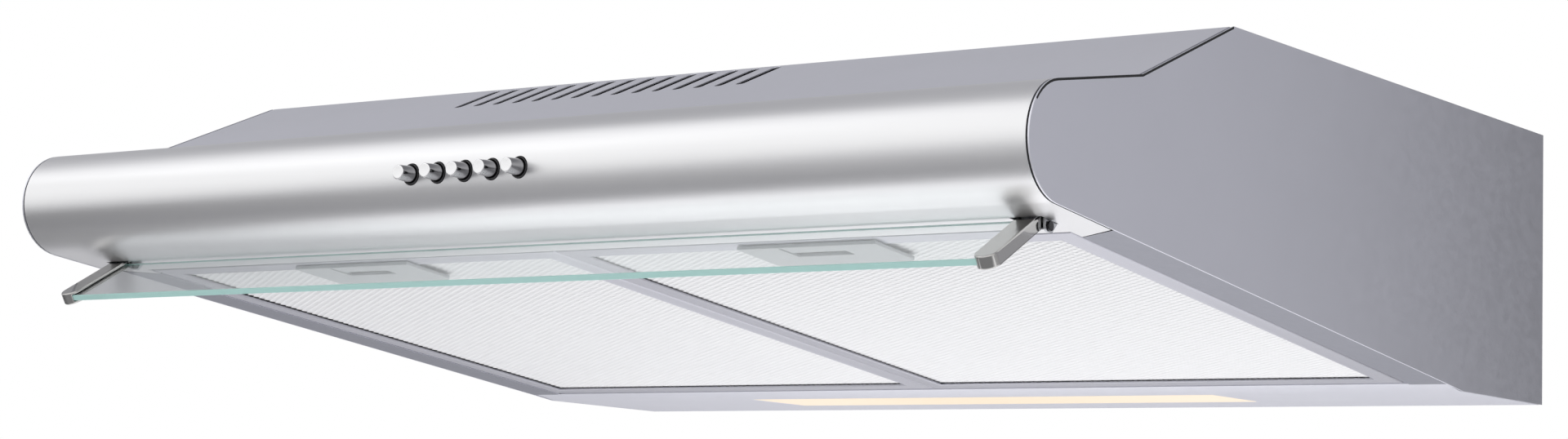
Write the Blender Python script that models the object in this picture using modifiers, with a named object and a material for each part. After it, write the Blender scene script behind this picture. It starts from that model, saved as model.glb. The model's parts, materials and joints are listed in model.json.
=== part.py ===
"""Under cabinet range hood: 60 cm body, glass visor, five push buttons, two grease filters, blower and lamps.

Units are metres and +Z is up. The world origin is the middle of the wall face. Inside the script the hood is
measured from its lower rear edge: X to the right, Y to the wall (Y = 0 there, the room is negative) and Z up
from the lowest sheet. The empty hood_origin turns that into world coordinates.
"""

from collections import namedtuple
from math import asin, atan2, cos, pi, radians, sin, sqrt, tan

import bmesh
import bpy
from mathutils import Matrix, Vector

# ---------------------------------------------------------------- driving dimensions
BODY_WIDTH = 0.600
BODY_HEIGHT = 0.1453
BODY_DEPTH = 0.5294  # wall to the front of the nose
TOP_DEPTH = 0.3565  # wall to the upper edge of the slope
CREASE_DEPTH = 0.4380  # wall to the lower edge of the slope
CREASE_DROP = 0.0342  # from the top down to that edge
SHELF_TILT = radians(10.0)
UNDER_TILT = radians(6.7)
LAMP_STEP_DEPTH = 0.125  # wall to the rear end of the tilted underside
LAMP_STEP_HEIGHT = 0.0027
LAMP_FLAT_DEPTH = 0.103  # wall to the front edge of the flat lamp strip

SHEET = 0.0008
GAP = 0.0003  # between pieces that touch
SEAM = 0.0009  # open seam between a side panel and the sheets beside it
SIDE_FLANGE = 0.012  # inner flange of a side panel
RIM_WIDTH = 0.021  # folded rim of a side panel under the hood
BACK_FLANGE = 0.014
RAIL_DEPTH = 0.4635  # wall to the upright of the front rail
RAIL_FOOT = 0.010
RAIL_RISE = 0.030
CUT_PAST = 0.010  # how far a cutter reaches past what it cuts

FLANGE_EDGE = 0.4595  # wall to the rear edge of the nose panel's flange
FLANGE_TAB = 0.4500  # wall to the end of the flange's corner tabs
LAMP_LIP_DEPTH = 0.1205  # wall to the lip that the filters hang on

VENT_COUNT = 15
VENT_PITCH = 0.01295
VENT_WIDTH = 0.0050
VENT_CENTRE_X = -0.040
VENT_LOW_DEPTH = 0.3915
VENT_HIGH_DEPTH = 0.3580
SHUTTER_TRAVEL = 0.0065
SHUTTER_GAP = 0.0005
SHUTTER_TAB = 0.020

BUTTON_COUNT = 5
BUTTON_PITCH = 0.0163
BUTTON_RADIUS = 0.0040
BUTTON_TIP_RADIUS = 0.0034
BUTTON_STAND = 0.0090
BUTTON_TRAVEL = 0.0040
STEM_RADIUS = 0.0020
COLLAR_WALL = 0.0006
COLLAR_STAND = 0.0004
COLLAR_FRAME_SIDE = 0.0105  # last button to the end of the frame
COLLAR_FRAME_HALF = 0.0110
COLLAR_FRAME_BACK = 0.0060  # nose front to the frame's plate
COLLAR_FRAME_THICK = 0.0020
COLLAR_FRAME_DEPTH = 0.034
BUTTON_SHOULDER = 0.0075  # part of the button inside the nose
STEM_LENGTH = 0.0095
BANK_DEPTH = 0.018
HANGER_BACK = 0.0160
BANK_HALF_HEIGHT = 0.0100
HANGER_FOOT = 0.0140

VISOR_TILT = radians(30.0)
VISOR_PIN_DEPTH = 0.4805
VISOR_PIN_HEIGHT = 0.0420
VISOR_ARM_INSET = 0.0265  # middle of an arm from the hood's side
ARM_WIDTH = 0.0110
ARM_THICK = 0.0062
ARM_LENGTH = 0.0437
ARM_RISE = 0.0027  # middle of the arm above the pivot
GLASS_THICK = 0.0030
GLASS_GRIP = 0.0080
GLASS_FRONT = 0.0420
GLASS_REAR = 0.0028
VISOR_PIN_RADIUS = 0.0013
EAR_THICK = 0.0012
EAR_RADIUS = 0.0025
SLOT_FRONT = 0.4875
SLOT_REAR = 0.4735
ARM_BOSS_RADIUS = 0.0033
PIN_HEAD_WIDTH = 0.0009
PIN_HEAD_HEIGHT = 0.0010
BRACKET_RISE = 0.0165  # pivot to the top of the bracket

FILTER_SPLIT_X = -0.0045
FILTER_GAP = 0.0010
FILTER_SIDE_GAP = 0.0015
FILTER_REAR = 0.1250
FILTER_FRONT = 0.4570
FILTER_THICK = 0.0100
FILTER_BORDER = 0.0110
MESH_THICK = 0.0006
PLEAT_PITCH = 0.0120
PLEAT_THICK = 0.0006
HINGE_INSET = 0.0030
HINGE_LIFT = 0.0050  # filter hinge above the filter's lower face
HOOK_SEAT = 0.0014
HOOK_LOW = 0.0026
HOOK_THICK = 0.0016
HOOK_WIDTH = 0.020
HOOK_REACH = 0.0078
LATCH_OFFSET_X = 0.139
LATCH_PLATE_WIDTH = 0.076
LATCH_PLATE_DEPTH = 0.038
LATCH_PLATE_THICK = 0.0018
LATCH_TRAVEL = 0.0040
LATCH_PAD_WIDTH = 0.030
LATCH_PAD_DEPTH = 0.0100
LATCH_NECK_WIDTH = 0.016
LATCH_CHAMFER = 0.006
LATCH_PLATE_FRONT = 0.0030  # frame's front edge to the plate
LATCH_PAD_FRONT = 0.0046  # frame's front edge to the finger pad
LATCH_SPACE = 0.0105  # front channel of the frame, left free for the latch
TONGUE_LOW = 0.0030
TONGUE_HIGH = 0.0044
TONGUE_REACH = 0.0016
TONGUE_WIDTH = 0.012

LAMP_WINDOW_HALF = 0.1530
LAMP_WINDOW_REAR = 0.0400
LAMP_WINDOW_FRONT = 0.0950
COVER_THICK = 0.0030
COVER_HINGE_INSET = 0.0012
COVER_REAR_GAP = 0.0010
COVER_WALL = 0.0014
TRAY_OVERHANG = 0.0200
TRAY_FRONT_MARGIN = 0.0035
TRAY_REAR_MARGIN = 0.0060
LAMP_Z = 0.0240
HOLDER_BASE = 0.0040
HOLDER_LENGTH = 0.0255
HOLDER_RADIUS = 0.0135
HOLDER_MOUTH_RADIUS = 0.0115
LAMP_TRAY_HEIGHT = 0.0460
BULB_RADIUS = 0.0165
BULB_LENGTH = 0.0800
BULB_NECK_RADIUS = 0.0088
BULB_NECK_LENGTH = 0.0030
CAP_RADIUS = 0.0068
CAP_LENGTH = 0.0200

BLOWER_X = 0.045
BLOWER_Y = -0.178
BLOWER_FLOOR = 0.0620
BLOWER_WALL = 0.0020
SCROLL_START = 0.0840
SCROLL_END = 0.1280
INLET_RADIUS = 0.0560
WHEEL_RADIUS = 0.0760
WHEEL_INNER = 0.0590
WHEEL_LOW = 0.0700
WHEEL_HIGH = 0.1180
BLADE_COUNT = 22
MOTOR_RADIUS = 0.0370
MOTOR_TOP = 0.1120
SHAFT_RADIUS = 0.0030
SHAFT_SOCKET = 0.0130
HUB_RADIUS = 0.0090
HUB_HEIGHT = 0.0080
WHEEL_PLATE = 0.0020
BLADE_THICK = 0.0012
BLADE_TURN = radians(24)
NUT_HEIGHT = 0.0050
NUT_RADIUS = 0.0062
BRACKET_THICK = 0.0015
CHAMBER_LEFT = -0.133
CHAMBER_RIGHT = 0.053
CHAMBER_FRONT = -0.395

OUTLET_X = -0.040
OUTLET_Y = -0.292
OUTLET_RADIUS = 0.0490
SLEEVE_WALL = 0.0015
SLEEVE_DROP = 0.040
DAMPER_DROP = 0.034
DAMPER_SEAT = 0.0022  # damper pin above the ledge the flaps rest on
DAMPER_THICK = 0.0010
DAMPER_PIN_RADIUS = 0.0010
DAMPER_BORE = 0.0013
KNUCKLE_RADIUS = 0.0024
KNUCKLE_WIDTH = 0.0080
KNUCKLE_XS = (-0.028, 0.016)
KNUCKLE_SHIFT = 0.012
SLEEVE_RISE = 0.0018
SLEEVE_FLANGE = 0.0080
SLEEVE_LEDGE = 0.0040
SCREW_HOLE_RADIUS = 0.0030
CABINET_HOLE_X = 0.200
CABINET_HOLE_DEPTHS = (0.075, 0.300)
KEYHOLE_X = 0.210
KEYHOLE_HEIGHT = 0.1100
KEYHOLE_RADIUS = 0.0055
KEYHOLE_SLOT = 0.0026
KEYHOLE_RISE = 0.012

GLAND_X = -0.250
GLAND_Y = -0.045
GLAND_RADIUS = 0.0060
GLAND_BORE = 0.0036
GLAND_FLANGE = 0.0030
GLAND_RISE = 0.0012
GLAND_DROP = 0.0045
TERMINAL_HALF = (0.026, 0.022)
TERMINAL_DROP = 0.030
CAPACITOR_PLACE = (0.205, -0.170)
CAPACITOR_RADIUS = 0.0140
CAPACITOR_LENGTH = 0.046

# ---------------------------------------------------------------- values worked out from them
HALF = BODY_WIDTH / 2
SIDE_INNER = HALF - SHEET
PANEL_HALF = SIDE_INNER - SEAM
INSET = SHEET + GAP
CREASE_HEIGHT = BODY_HEIGHT - CREASE_DROP
SLOPE_TILT = atan2(CREASE_DROP, CREASE_DEPTH - TOP_DEPTH)
VISOR_ARM_X = HALF - VISOR_ARM_INSET
VISOR_ARM_IN = VISOR_ARM_X - ARM_WIDTH / 2
FILTER_OUTER_X = HALF - RIM_WIDTH - FILTER_SIDE_GAP
COLLAR_INNER = BUTTON_RADIUS + GAP
COLLAR_OUTER = COLLAR_INNER + COLLAR_WALL
TRAY_HALF = LAMP_WINDOW_HALF + TRAY_OVERHANG
LAMP_Y = -(LAMP_WINDOW_FRONT + LAMP_WINDOW_REAR) / 2
LAMP_BASE_X = TRAY_HALF - SHEET - GAP - HOLDER_BASE
SLEEVE_RADIUS = OUTLET_RADIUS + SLEEVE_WALL

PARTS = "under_cabinet_range_hood"
CUTTERS = "cutters"
Frame = namedtuple("Frame", "location rotation")
BODY = Frame((0.0, 0.0, 0.0), (0.0, 0.0, 0.0))


def under(depth):
    """Height of the tilted underside at a distance from the wall."""
    return LAMP_STEP_HEIGHT + (depth - LAMP_STEP_DEPTH) * tan(UNDER_TILT)


def slope(depth):
    """Height of the sloping face at a distance from the wall."""
    return BODY_HEIGHT - (depth - TOP_DEPTH) * tan(SLOPE_TILT)


def shelf(depth):
    """Height of the shelf between the slope and the nose."""
    return CREASE_HEIGHT - (depth - CREASE_DEPTH) * tan(SHELF_TILT)


def nose_circle():
    """Depth, height and radius of the nose: it touches the underside, the shelf and the front."""
    bend = 1 / cos(UNDER_TILT) + 1 / cos(SHELF_TILT) - tan(UNDER_TILT) - tan(SHELF_TILT)
    radius = (shelf(BODY_DEPTH) - under(BODY_DEPTH)) / bend
    depth = BODY_DEPTH - radius
    height = under(depth) + radius / cos(UNDER_TILT)
    return depth, height, radius


NOSE_DEPTH, NOSE_HEIGHT, NOSE_RADIUS = nose_circle()
BUTTON_HEIGHT = NOSE_HEIGHT
LIP_TOP = under(FILTER_REAR) + HINGE_LIFT + HOOK_SEAT
HINGE_DEPTH = FILTER_REAR + HINGE_INSET * cos(UNDER_TILT) - HINGE_LIFT * sin(UNDER_TILT)
HINGE_HEIGHT = under(FILTER_REAR) + HINGE_INSET * sin(UNDER_TILT) + HINGE_LIFT * cos(UNDER_TILT)
FILTER_LENGTH = (FILTER_FRONT - FILTER_REAR) / cos(UNDER_TILT)
FILTER_LOW = -HINGE_LIFT
FILTER_Y_REAR = HINGE_INSET
FILTER_Y_FRONT = HINGE_INSET - FILTER_LENGTH

# Frames that tilted or turned pieces are made in: an origin in the hood and a rotation.
UNDER_FRAME = Frame((0.0, -LAMP_STEP_DEPTH, LAMP_STEP_HEIGHT), (-UNDER_TILT, 0.0, 0.0))
SLOPE_FRAME = Frame((0.0, -TOP_DEPTH, BODY_HEIGHT), (SLOPE_TILT, 0.0, 0.0))
VISOR_FRAME = Frame((0.0, -VISOR_PIN_DEPTH, VISOR_PIN_HEIGHT), (VISOR_TILT, 0.0, 0.0))
FILTER_FRAME = Frame((0.0, -HINGE_DEPTH, HINGE_HEIGHT), (-UNDER_TILT, 0.0, 0.0))
COVER_HINGE_DEPTH = LAMP_WINDOW_REAR + COVER_REAR_GAP + COVER_HINGE_INSET
COVER_FRAME = Frame((0.0, -COVER_HINGE_DEPTH, COVER_THICK / 2), (0.0, 0.0, 0.0))
ROTOR_FRAME = Frame((BLOWER_X, BLOWER_Y, 0.0), (0.0, 0.0, 0.0))
OUTLET_FRAME = Frame((OUTLET_X, OUTLET_Y, BODY_HEIGHT), (0.0, 0.0, 0.0))
DAMPER_FRAME = Frame((OUTLET_X, OUTLET_Y, BODY_HEIGHT - DAMPER_DROP + DAMPER_SEAT), (0.0, 0.0, 0.0))


def nose_arc(steps=22):
    """Points (y, z) up the nose, from its tangent with the underside to its tangent with the shelf."""
    first = -pi / 2 - UNDER_TILT
    last = -3 * pi / 2 + SHELF_TILT
    points = []
    for i in range(steps + 1):
        angle = first + (last - first) * i / steps
        points.append((-NOSE_DEPTH + NOSE_RADIUS * cos(angle), NOSE_HEIGHT + NOSE_RADIUS * sin(angle)))
    return points


def line_crossing(a, b, c, d):
    """Where the line through a and b meets the line through c and d."""
    ab = (b[0] - a[0], b[1] - a[1])
    cd = (d[0] - c[0], d[1] - c[1])
    cross = ab[0] * cd[1] - ab[1] * cd[0]
    share = ((c[0] - a[0]) * cd[1] - (c[1] - a[1]) * cd[0]) / cross
    return a[0] + ab[0] * share, a[1] + ab[1] * share


def inset_path(points, distance):
    """An open (y, z) path moved inwards, to the right of its direction, with mitred corners."""
    moved = []
    for start, end in zip(points, points[1:]):
        length = sqrt((end[0] - start[0]) ** 2 + (end[1] - start[1]) ** 2)
        side = ((end[1] - start[1]) / length * distance, -(end[0] - start[0]) / length * distance)
        moved.append(((start[0] + side[0], start[1] + side[1]), (end[0] + side[0], end[1] + side[1])))
    path = [moved[0][0]]
    for before, after in zip(moved, moved[1:]):
        path.append(line_crossing(*before, *after))
    path.append(moved[-1][1])
    return path


def side_outline():
    """The hood's outline (y, z) seen from the side, from the lamp strip forwards and round over the top."""
    return (
        [(0.0, 0.0), (-LAMP_FLAT_DEPTH, 0.0), (-LAMP_STEP_DEPTH, LAMP_STEP_HEIGHT)]
        + nose_arc()
        + [(-CREASE_DEPTH, CREASE_HEIGHT), (-TOP_DEPTH, BODY_HEIGHT), (0.0, BODY_HEIGHT)]
    )


# ---------------------------------------------------------------- making objects
def clear_scene():
    """Removes what the scene holds and makes the two collections and the origin empty."""
    for old in list(bpy.data.objects):
        bpy.data.objects.remove(old, do_unlink=True)
    for name in (PARTS, CUTTERS):
        made = bpy.data.collections.new(name)
        bpy.context.scene.collection.children.link(made)
    origin = bpy.data.objects.new("hood_origin", None)
    origin.location = (0.0, 0.0, -BODY_HEIGHT / 2)
    bpy.data.collections[PARTS].objects.link(origin)


def finish(name, color, roughness, metallic):
    """A plain Principled material, made once."""
    made = bpy.data.materials.get(name) or bpy.data.materials.new(name)
    made.use_nodes = True
    shader = made.node_tree.nodes["Principled BSDF"]
    shader.inputs["Base Color"].default_value = (*color, 1.0)
    shader.inputs["Roughness"].default_value = roughness
    shader.inputs["Metallic"].default_value = metallic
    return made


def stainless():
    return finish("brushed_stainless", (0.72, 0.72, 0.73), 0.28, 1.0)


def panel_steel():
    return finish("panel_steel", (0.60, 0.61, 0.66), 0.40, 0.9)


def inner_steel():
    return finish("zinc_steel", (0.52, 0.53, 0.55), 0.45, 0.9)


def aluminium():
    return finish("aluminium", (0.78, 0.79, 0.82), 0.35, 0.9)


def chrome():
    return finish("chrome", (0.80, 0.80, 0.82), 0.08, 1.0)


def dark_plastic():
    return finish("dark_plastic", (0.03, 0.03, 0.035), 0.45, 0.0)


def grey_plastic():
    return finish("grey_plastic", (0.50, 0.52, 0.53), 0.50, 0.0)


def pale_plastic():
    return finish("pale_plastic", (0.85, 0.84, 0.80), 0.45, 0.0)


def lit_plastic():
    return finish("lamp_diffuser", (0.98, 0.91, 0.80), 0.50, 0.0)


def clear_glass():
    return finish("visor_glass", (0.62, 0.86, 0.82), 0.05, 0.0)


def add(name, mesh, material, frame=BODY, collection=PARTS):
    """Puts a mesh in the scene on its own frame, under the origin empty."""
    made = bpy.data.objects.new(name, mesh)
    bpy.data.collections[collection].objects.link(made)
    made.parent = bpy.data.objects["hood_origin"]
    made.location = frame.location
    made.rotation_euler = frame.rotation
    if material:
        mesh.materials.append(material)
    mesh.shade_smooth()
    mesh.set_sharp_from_angle(angle=radians(32))
    return made


def cutter(name, mesh, frame=BODY):
    """A helper for a Boolean, which the render and the build leave out."""
    made = add(name, mesh, None, frame, CUTTERS)
    made.hide_render = True
    made.display_type = "WIRE"
    return made


def boolean(target, other, operation):
    step = target.modifiers.new(other.name, "BOOLEAN")
    step.object = other
    step.operation = operation
    step.solver = "EXACT"


def cut(target, other):
    boolean(target, other, "DIFFERENCE")


def unite(target, other):
    boolean(target, other, "UNION")


def to_mesh(bm, name):
    mesh = bpy.data.meshes.new(name)
    bm.to_mesh(mesh)
    bm.free()
    return mesh


def boxes(name, *corners):
    """One mesh of boxes, each given by its low and high corner."""
    bm = bmesh.new()
    for low, high in corners:
        size = Vector(high) - Vector(low)
        middle = (Vector(high) + Vector(low)) / 2
        place = Matrix.Translation(middle) @ Matrix.Diagonal((*size, 1.0))
        bmesh.ops.create_cube(bm, size=1.0, matrix=place)
    return to_mesh(bm, name)


TURNS = {
    "X": Matrix.Rotation(pi / 2, 4, "Y"),
    "Y": Matrix.Rotation(-pi / 2, 4, "X"),
    "Z": Matrix.Identity(4),
}


def rods(name, axis, radius, *spans, sides=24):
    """One mesh of round rods along an axis, each given by its start point and its length."""
    bm = bmesh.new()
    for start, length in spans:
        place = Matrix.Translation(start) @ TURNS[axis] @ Matrix.Translation((0, 0, length / 2))
        bmesh.ops.create_cone(
            bm, cap_ends=True, segments=sides, radius1=radius, radius2=radius, depth=length, matrix=place
        )
    return to_mesh(bm, name)


PLANES = {  # how a flat outline (u, v) and its thickness w lie in the hood
    "YZ": Matrix(((0, 0, 1, 0), (1, 0, 0, 0), (0, 1, 0, 0), (0, 0, 0, 1))),
    "XY": Matrix.Identity(4),
    "XZ": Matrix(((1, 0, 0, 0), (0, 0, -1, 0), (0, 1, 0, 0), (0, 0, 0, 1))),
}


def prism(name, plane, outlines, low, high):
    """A flat outline, with any holes, extruded from low to high across its plane."""
    curve = bpy.data.curves.new(name, "CURVE")
    curve.dimensions = "2D"
    curve.fill_mode = "BOTH"
    curve.extrude = (high - low) / 2
    for outline in outlines:
        spline = curve.splines.new("POLY")
        spline.points.add(len(outline) - 1)
        spline.use_cyclic_u = True
        for point, place in zip(spline.points, outline):
            point.co = (place[0], place[1], 0.0, 1.0)
    guide = bpy.data.objects.new(name, curve)
    bpy.context.scene.collection.objects.link(guide)
    graph = bpy.context.evaluated_depsgraph_get()
    mesh = bpy.data.meshes.new_from_object(guide.evaluated_get(graph))
    bpy.data.objects.remove(guide)
    middle = (low + high) / 2 * (-1 if plane == "XZ" else 1)
    mesh.transform(PLANES[plane] @ Matrix.Translation((0, 0, middle)))
    bm = bmesh.new()
    bm.from_mesh(mesh)
    bmesh.ops.remove_doubles(bm, verts=bm.verts, dist=0.00001)
    bmesh.ops.recalc_face_normals(bm, faces=bm.faces)
    bm.to_mesh(mesh)
    bm.free()
    return mesh


def sheet(name, profile, half_width, material, frame=BODY, centre=0.0):
    """Folded sheet metal: an open (y, z) profile drawn out along X, thickened to its right."""
    bm = bmesh.new()
    line = [bm.verts.new((centre - half_width, y, z)) for y, z in profile]
    edges = [bm.edges.new(pair) for pair in zip(line, line[1:])]
    drawn = bmesh.ops.extrude_edge_only(bm, edges=edges)["geom"]
    moved = [item for item in drawn if isinstance(item, bmesh.types.BMVert)]
    bmesh.ops.translate(bm, vec=(2 * half_width, 0.0, 0.0), verts=moved)
    made = add(name, to_mesh(bm, name), material, frame)
    solid = made.modifiers.new("thickness", "SOLIDIFY")
    solid.thickness = SHEET
    solid.offset = -1.0
    solid.use_even_offset = True
    return made


def turned(name, profile, material, frame, steps=24):
    """A turned piece: (radius, height) points that run down its outer side, turned round the frame's Z."""
    bm = bmesh.new()
    ring = profile[0] == profile[-1]
    line = [bm.verts.new((radius, 0.0, height)) for radius, height in profile[: -1 if ring else None]]
    line += [line[0]] if ring else []
    for a, b in zip(line, line[1:]):
        bm.edges.new((a, b))
    made = add(name, to_mesh(bm, name), material, frame)
    turn = made.modifiers.new("turn", "SCREW")
    turn.angle = 2 * pi
    turn.steps = steps
    turn.render_steps = steps
    turn.use_merge_vertices = True
    turn.merge_threshold = 0.00001
    return made


def ring_profile(inner, outer, low, high):
    """The closed profile of a plain ring, for turned()."""
    return [(inner, high), (outer, high), (outer, low), (inner, low), (inner, high)]


def arc(centre, radius, first, last, steps):
    """Points on an arc, angles in radians."""
    points = []
    for i in range(steps + 1):
        angle = first + (last - first) * i / steps
        points.append((centre[0] + radius * cos(angle), centre[1] + radius * sin(angle)))
    return points


# ---------------------------------------------------------------- housing
def side_flange_path():
    """The path of a side panel's inner flange: up the back, over the top and round the nose."""
    path = [(0.0, 0.022), (0.0, BODY_HEIGHT), (-TOP_DEPTH, BODY_HEIGHT), (-CREASE_DEPTH, CREASE_HEIGHT)]
    path += list(reversed(nose_arc(12)))
    path.append((-FLANGE_EDGE - 0.003, under(FLANGE_EDGE + 0.003)))
    return inset_path(list(reversed(path)), INSET)


def side_panel(name, side):
    """A side panel: the flat plate, its inner flange and the rim folded in under the filters."""
    low, high = sorted((side * SIDE_INNER, side * HALF))
    plate = add(name, prism(name, "YZ", [side_outline()], low, high), panel_steel())
    middle = side * (SIDE_INNER + SHEET / 2 - SIDE_FLANGE / 2)
    flange = sheet(name + "_flange", side_flange_path(), SIDE_FLANGE / 2, None, centre=middle)
    bpy.data.collections[PARTS].objects.unlink(flange)
    bpy.data.collections[CUTTERS].objects.link(flange)
    flange.hide_render = True
    flange.display_type = "WIRE"
    unite(plate, flange)
    unite(plate, cutter(name + "_rim", rim_mesh(name, side), UNDER_FRAME))
    return plate


def under_y(depth):
    """Distance along the tilted underside, in its local frame, of a distance from the wall."""
    return (LAMP_STEP_DEPTH - depth) / cos(UNDER_TILT)


def rim_mesh(name, side):
    """The rim's outline on the underside. Its front end is cut at the slant of the flange's corner tab."""
    inner = side * (HALF - RIM_WIDTH)
    outer = side * (SIDE_INNER + SHEET / 2)
    clear = 2 * GAP
    outline = [
        (inner, under_y(LAMP_LIP_DEPTH + 0.0008)),
        (outer, under_y(LAMP_LIP_DEPTH + 0.0008)),
        (outer, under_y(FLANGE_EDGE - clear)),
        (inner, under_y(FLANGE_TAB - clear)),
    ]
    return prism(name + "_rim", "XY", [outline], 0.0, SHEET)


def front_panel():
    """The nose: flange, rolled front and shelf, folded down behind the crease."""
    profile = [(-FLANGE_TAB, under(FLANGE_TAB))]
    profile += nose_arc()
    crease = CREASE_DEPTH + GAP
    profile += [(-crease, shelf(crease)), (-crease, shelf(crease) - BACK_FLANGE)]
    panel = sheet("front_panel", profile, PANEL_HALF, stainless())
    cut(panel, cutter("flange_shape", flange_shape_mesh()))
    cut(panel, cutter("button_holes", button_holes_mesh()))
    cut(panel, cutter("visor_slots", visor_slots_mesh()))
    crease = CREASE_DEPTH + GAP
    fold = shelf(crease) - SHEET - GAP / 2
    cut(panel, end_relief("front_relief", -crease - 2 * SHEET, -crease + SHEET, fold - BACK_FLANGE, fold))
    return panel


def end_relief(name, front, rear, bottom, top):
    """Takes a sheet's inner fold back from the side panels' flanges, between these (y, z) limits."""
    inner = SIDE_INNER - SIDE_FLANGE - GAP
    left = ((-HALF, front, bottom), (-inner, rear, top))
    right = ((inner, front, bottom), (HALF, rear, top))
    return cutter(name, boxes(name, left, right))


def flange_shape_mesh():
    """Cuts the flange back to its rear edge and leaves a slanted tab at each end."""
    tab = HALF - RIM_WIDTH
    rear = -FLANGE_TAB + 0.004
    outline = [
        (-tab, -FLANGE_EDGE),
        (tab, -FLANGE_EDGE),
        (tab, -FLANGE_TAB),
        (HALF, -FLANGE_EDGE - (HALF - PANEL_HALF) * 0.5),
        (HALF, rear),
        (-HALF, rear),
        (-HALF, -FLANGE_EDGE - (HALF - PANEL_HALF) * 0.5),
        (-tab, -FLANGE_TAB),
    ]
    return prism("flange_shape", "XY", [outline], under(FLANGE_TAB) - 0.006, under(FLANGE_TAB) + 0.008)


def button_xs():
    return [(i - (BUTTON_COUNT - 1) / 2) * BUTTON_PITCH for i in range(BUTTON_COUNT)]


def button_holes_mesh():
    spans = [((x, -BODY_DEPTH - 0.004, BUTTON_HEIGHT), 0.012) for x in button_xs()]
    return rods("button_holes", "Y", COLLAR_OUTER + GAP, *spans)


def visor_slots_mesh():
    wide = ARM_WIDTH / 2 + 2 * GAP + EAR_THICK + 2 * GAP
    spans = []
    for side in (-1, 1):
        middle = side * VISOR_ARM_X
        low = (middle - wide, -SLOT_FRONT, VISOR_PIN_HEIGHT - 0.004)
        high = (middle + wide, -SLOT_REAR, VISOR_PIN_HEIGHT + 0.009)
        spans.append((low, high))
    return boxes("visor_slots", *spans)


def top_panel():
    """Flat top and sloping face in one sheet, with the vents, the outlet and the screw holes."""
    crease = CREASE_DEPTH - GAP
    profile = [(-crease, slope(crease)), (-TOP_DEPTH, BODY_HEIGHT), (0.0, BODY_HEIGHT)]
    panel = sheet("top_panel", profile, PANEL_HALF, panel_steel())
    cut(panel, cutter("vent_slots", vent_mesh("vent_slots", VENT_WIDTH)))
    cut(panel, top_hole("outlet_hole", SLEEVE_RADIUS + GAP, 48, (OUTLET_X, OUTLET_Y)))
    places = [(side * CABINET_HOLE_X, -depth) for side in (-1, 1) for depth in CABINET_HOLE_DEPTHS]
    cut(panel, top_hole("cabinet_holes", SCREW_HOLE_RADIUS, 16, *places))
    cut(panel, top_hole("gland_hole", GLAND_RADIUS + GAP, 20, (GLAND_X, GLAND_Y)))
    return panel


def top_hole(name, radius, sides, *places):
    """Round holes through the flat top at (x, y) places."""
    spans = [((x, y, BODY_HEIGHT - CUT_PAST), 2 * CUT_PAST) for x, y in places]
    return cutter(name, rods(name, "Z", radius, *spans, sides=sides))


def slope_y(depth):
    """Distance down the slope, in its local frame, of a distance from the wall."""
    return (TOP_DEPTH - depth) / cos(SLOPE_TILT)


def vent_xs():
    return [VENT_CENTRE_X + (i - (VENT_COUNT - 1) / 2) * VENT_PITCH for i in range(VENT_COUNT)]


def vent_mesh(name, width):
    """Round-ended slots through the sloping face."""
    low = slope_y(VENT_LOW_DEPTH) + width / 2
    high = slope_y(VENT_HIGH_DEPTH) - width / 2
    outlines = []
    for x in vent_xs():
        outlines.append(arc((x, high), width / 2, 0, pi, 6) + arc((x, low), width / 2, pi, 2 * pi, 6))
    mesh = prism(name, "XY", outlines, -0.004, 0.004)
    mesh.transform(slope_matrix())
    return mesh


def slope_matrix():
    return Matrix.Translation(SLOPE_FRAME.location) @ Matrix.Rotation(SLOPE_TILT, 4, "X")


def back_panel():
    """The wall side, with a fold at its top and bottom and two keyholes."""
    top = BODY_HEIGHT - INSET
    bottom = INSET
    profile = [(-BACK_FLANGE, top), (0.0, top), (0.0, bottom), (-BACK_FLANGE, bottom)]
    panel = sheet("back_panel", profile, PANEL_HALF, inner_steel())
    cut(panel, cutter("keyholes", keyhole_mesh()))
    cut(panel, end_relief("back_relief", -BACK_FLANGE - 0.005, -SHEET - GAP / 2, 0.0, BODY_HEIGHT))
    return panel


def keyhole_mesh():
    """A round hole with a narrow slot above it, for a screw head and its shank."""
    outlines = []
    start = asin(KEYHOLE_SLOT / KEYHOLE_RADIUS)
    for x in (-KEYHOLE_X, KEYHOLE_X):
        round_part = arc((x, KEYHOLE_HEIGHT), KEYHOLE_RADIUS, pi / 2 + start, 5 * pi / 2 - start, 18)
        top_part = arc((x, KEYHOLE_HEIGHT + KEYHOLE_RISE), KEYHOLE_SLOT, 0, pi, 8)
        outlines.append(round_part + top_part)
    return prism("keyholes", "XZ", outlines, -0.006, 0.006)


def lamp_panel():
    """The rear strip of the underside, with the lip that the filters hang on and the lamp window."""
    profile = [
        (0.0, 0.0),
        (-LAMP_FLAT_DEPTH, 0.0),
        (-LAMP_LIP_DEPTH, under(LAMP_LIP_DEPTH) + GAP),
        (-LAMP_LIP_DEPTH, LIP_TOP),
    ]
    panel = sheet("lamp_panel", profile, PANEL_HALF, panel_steel())
    low = (-LAMP_WINDOW_HALF, -LAMP_WINDOW_FRONT, -0.004)
    high = (LAMP_WINDOW_HALF, -LAMP_WINDOW_REAR, 0.004)
    cut(panel, cutter("lamp_window", boxes("lamp_window", (low, high))))
    return panel


def front_rail():
    """An angle behind the nose's flange. It stiffens the filter opening."""
    foot = under(RAIL_DEPTH) + INSET
    front = RAIL_DEPTH + RAIL_FOOT
    profile = [(-RAIL_DEPTH, foot + RAIL_RISE), (-RAIL_DEPTH, foot + SHEET)]
    profile.append((-front, under(front) + INSET + SHEET))
    return sheet("front_rail", profile, SIDE_INNER - SIDE_FLANGE - GAP * 2, inner_steel())


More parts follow.
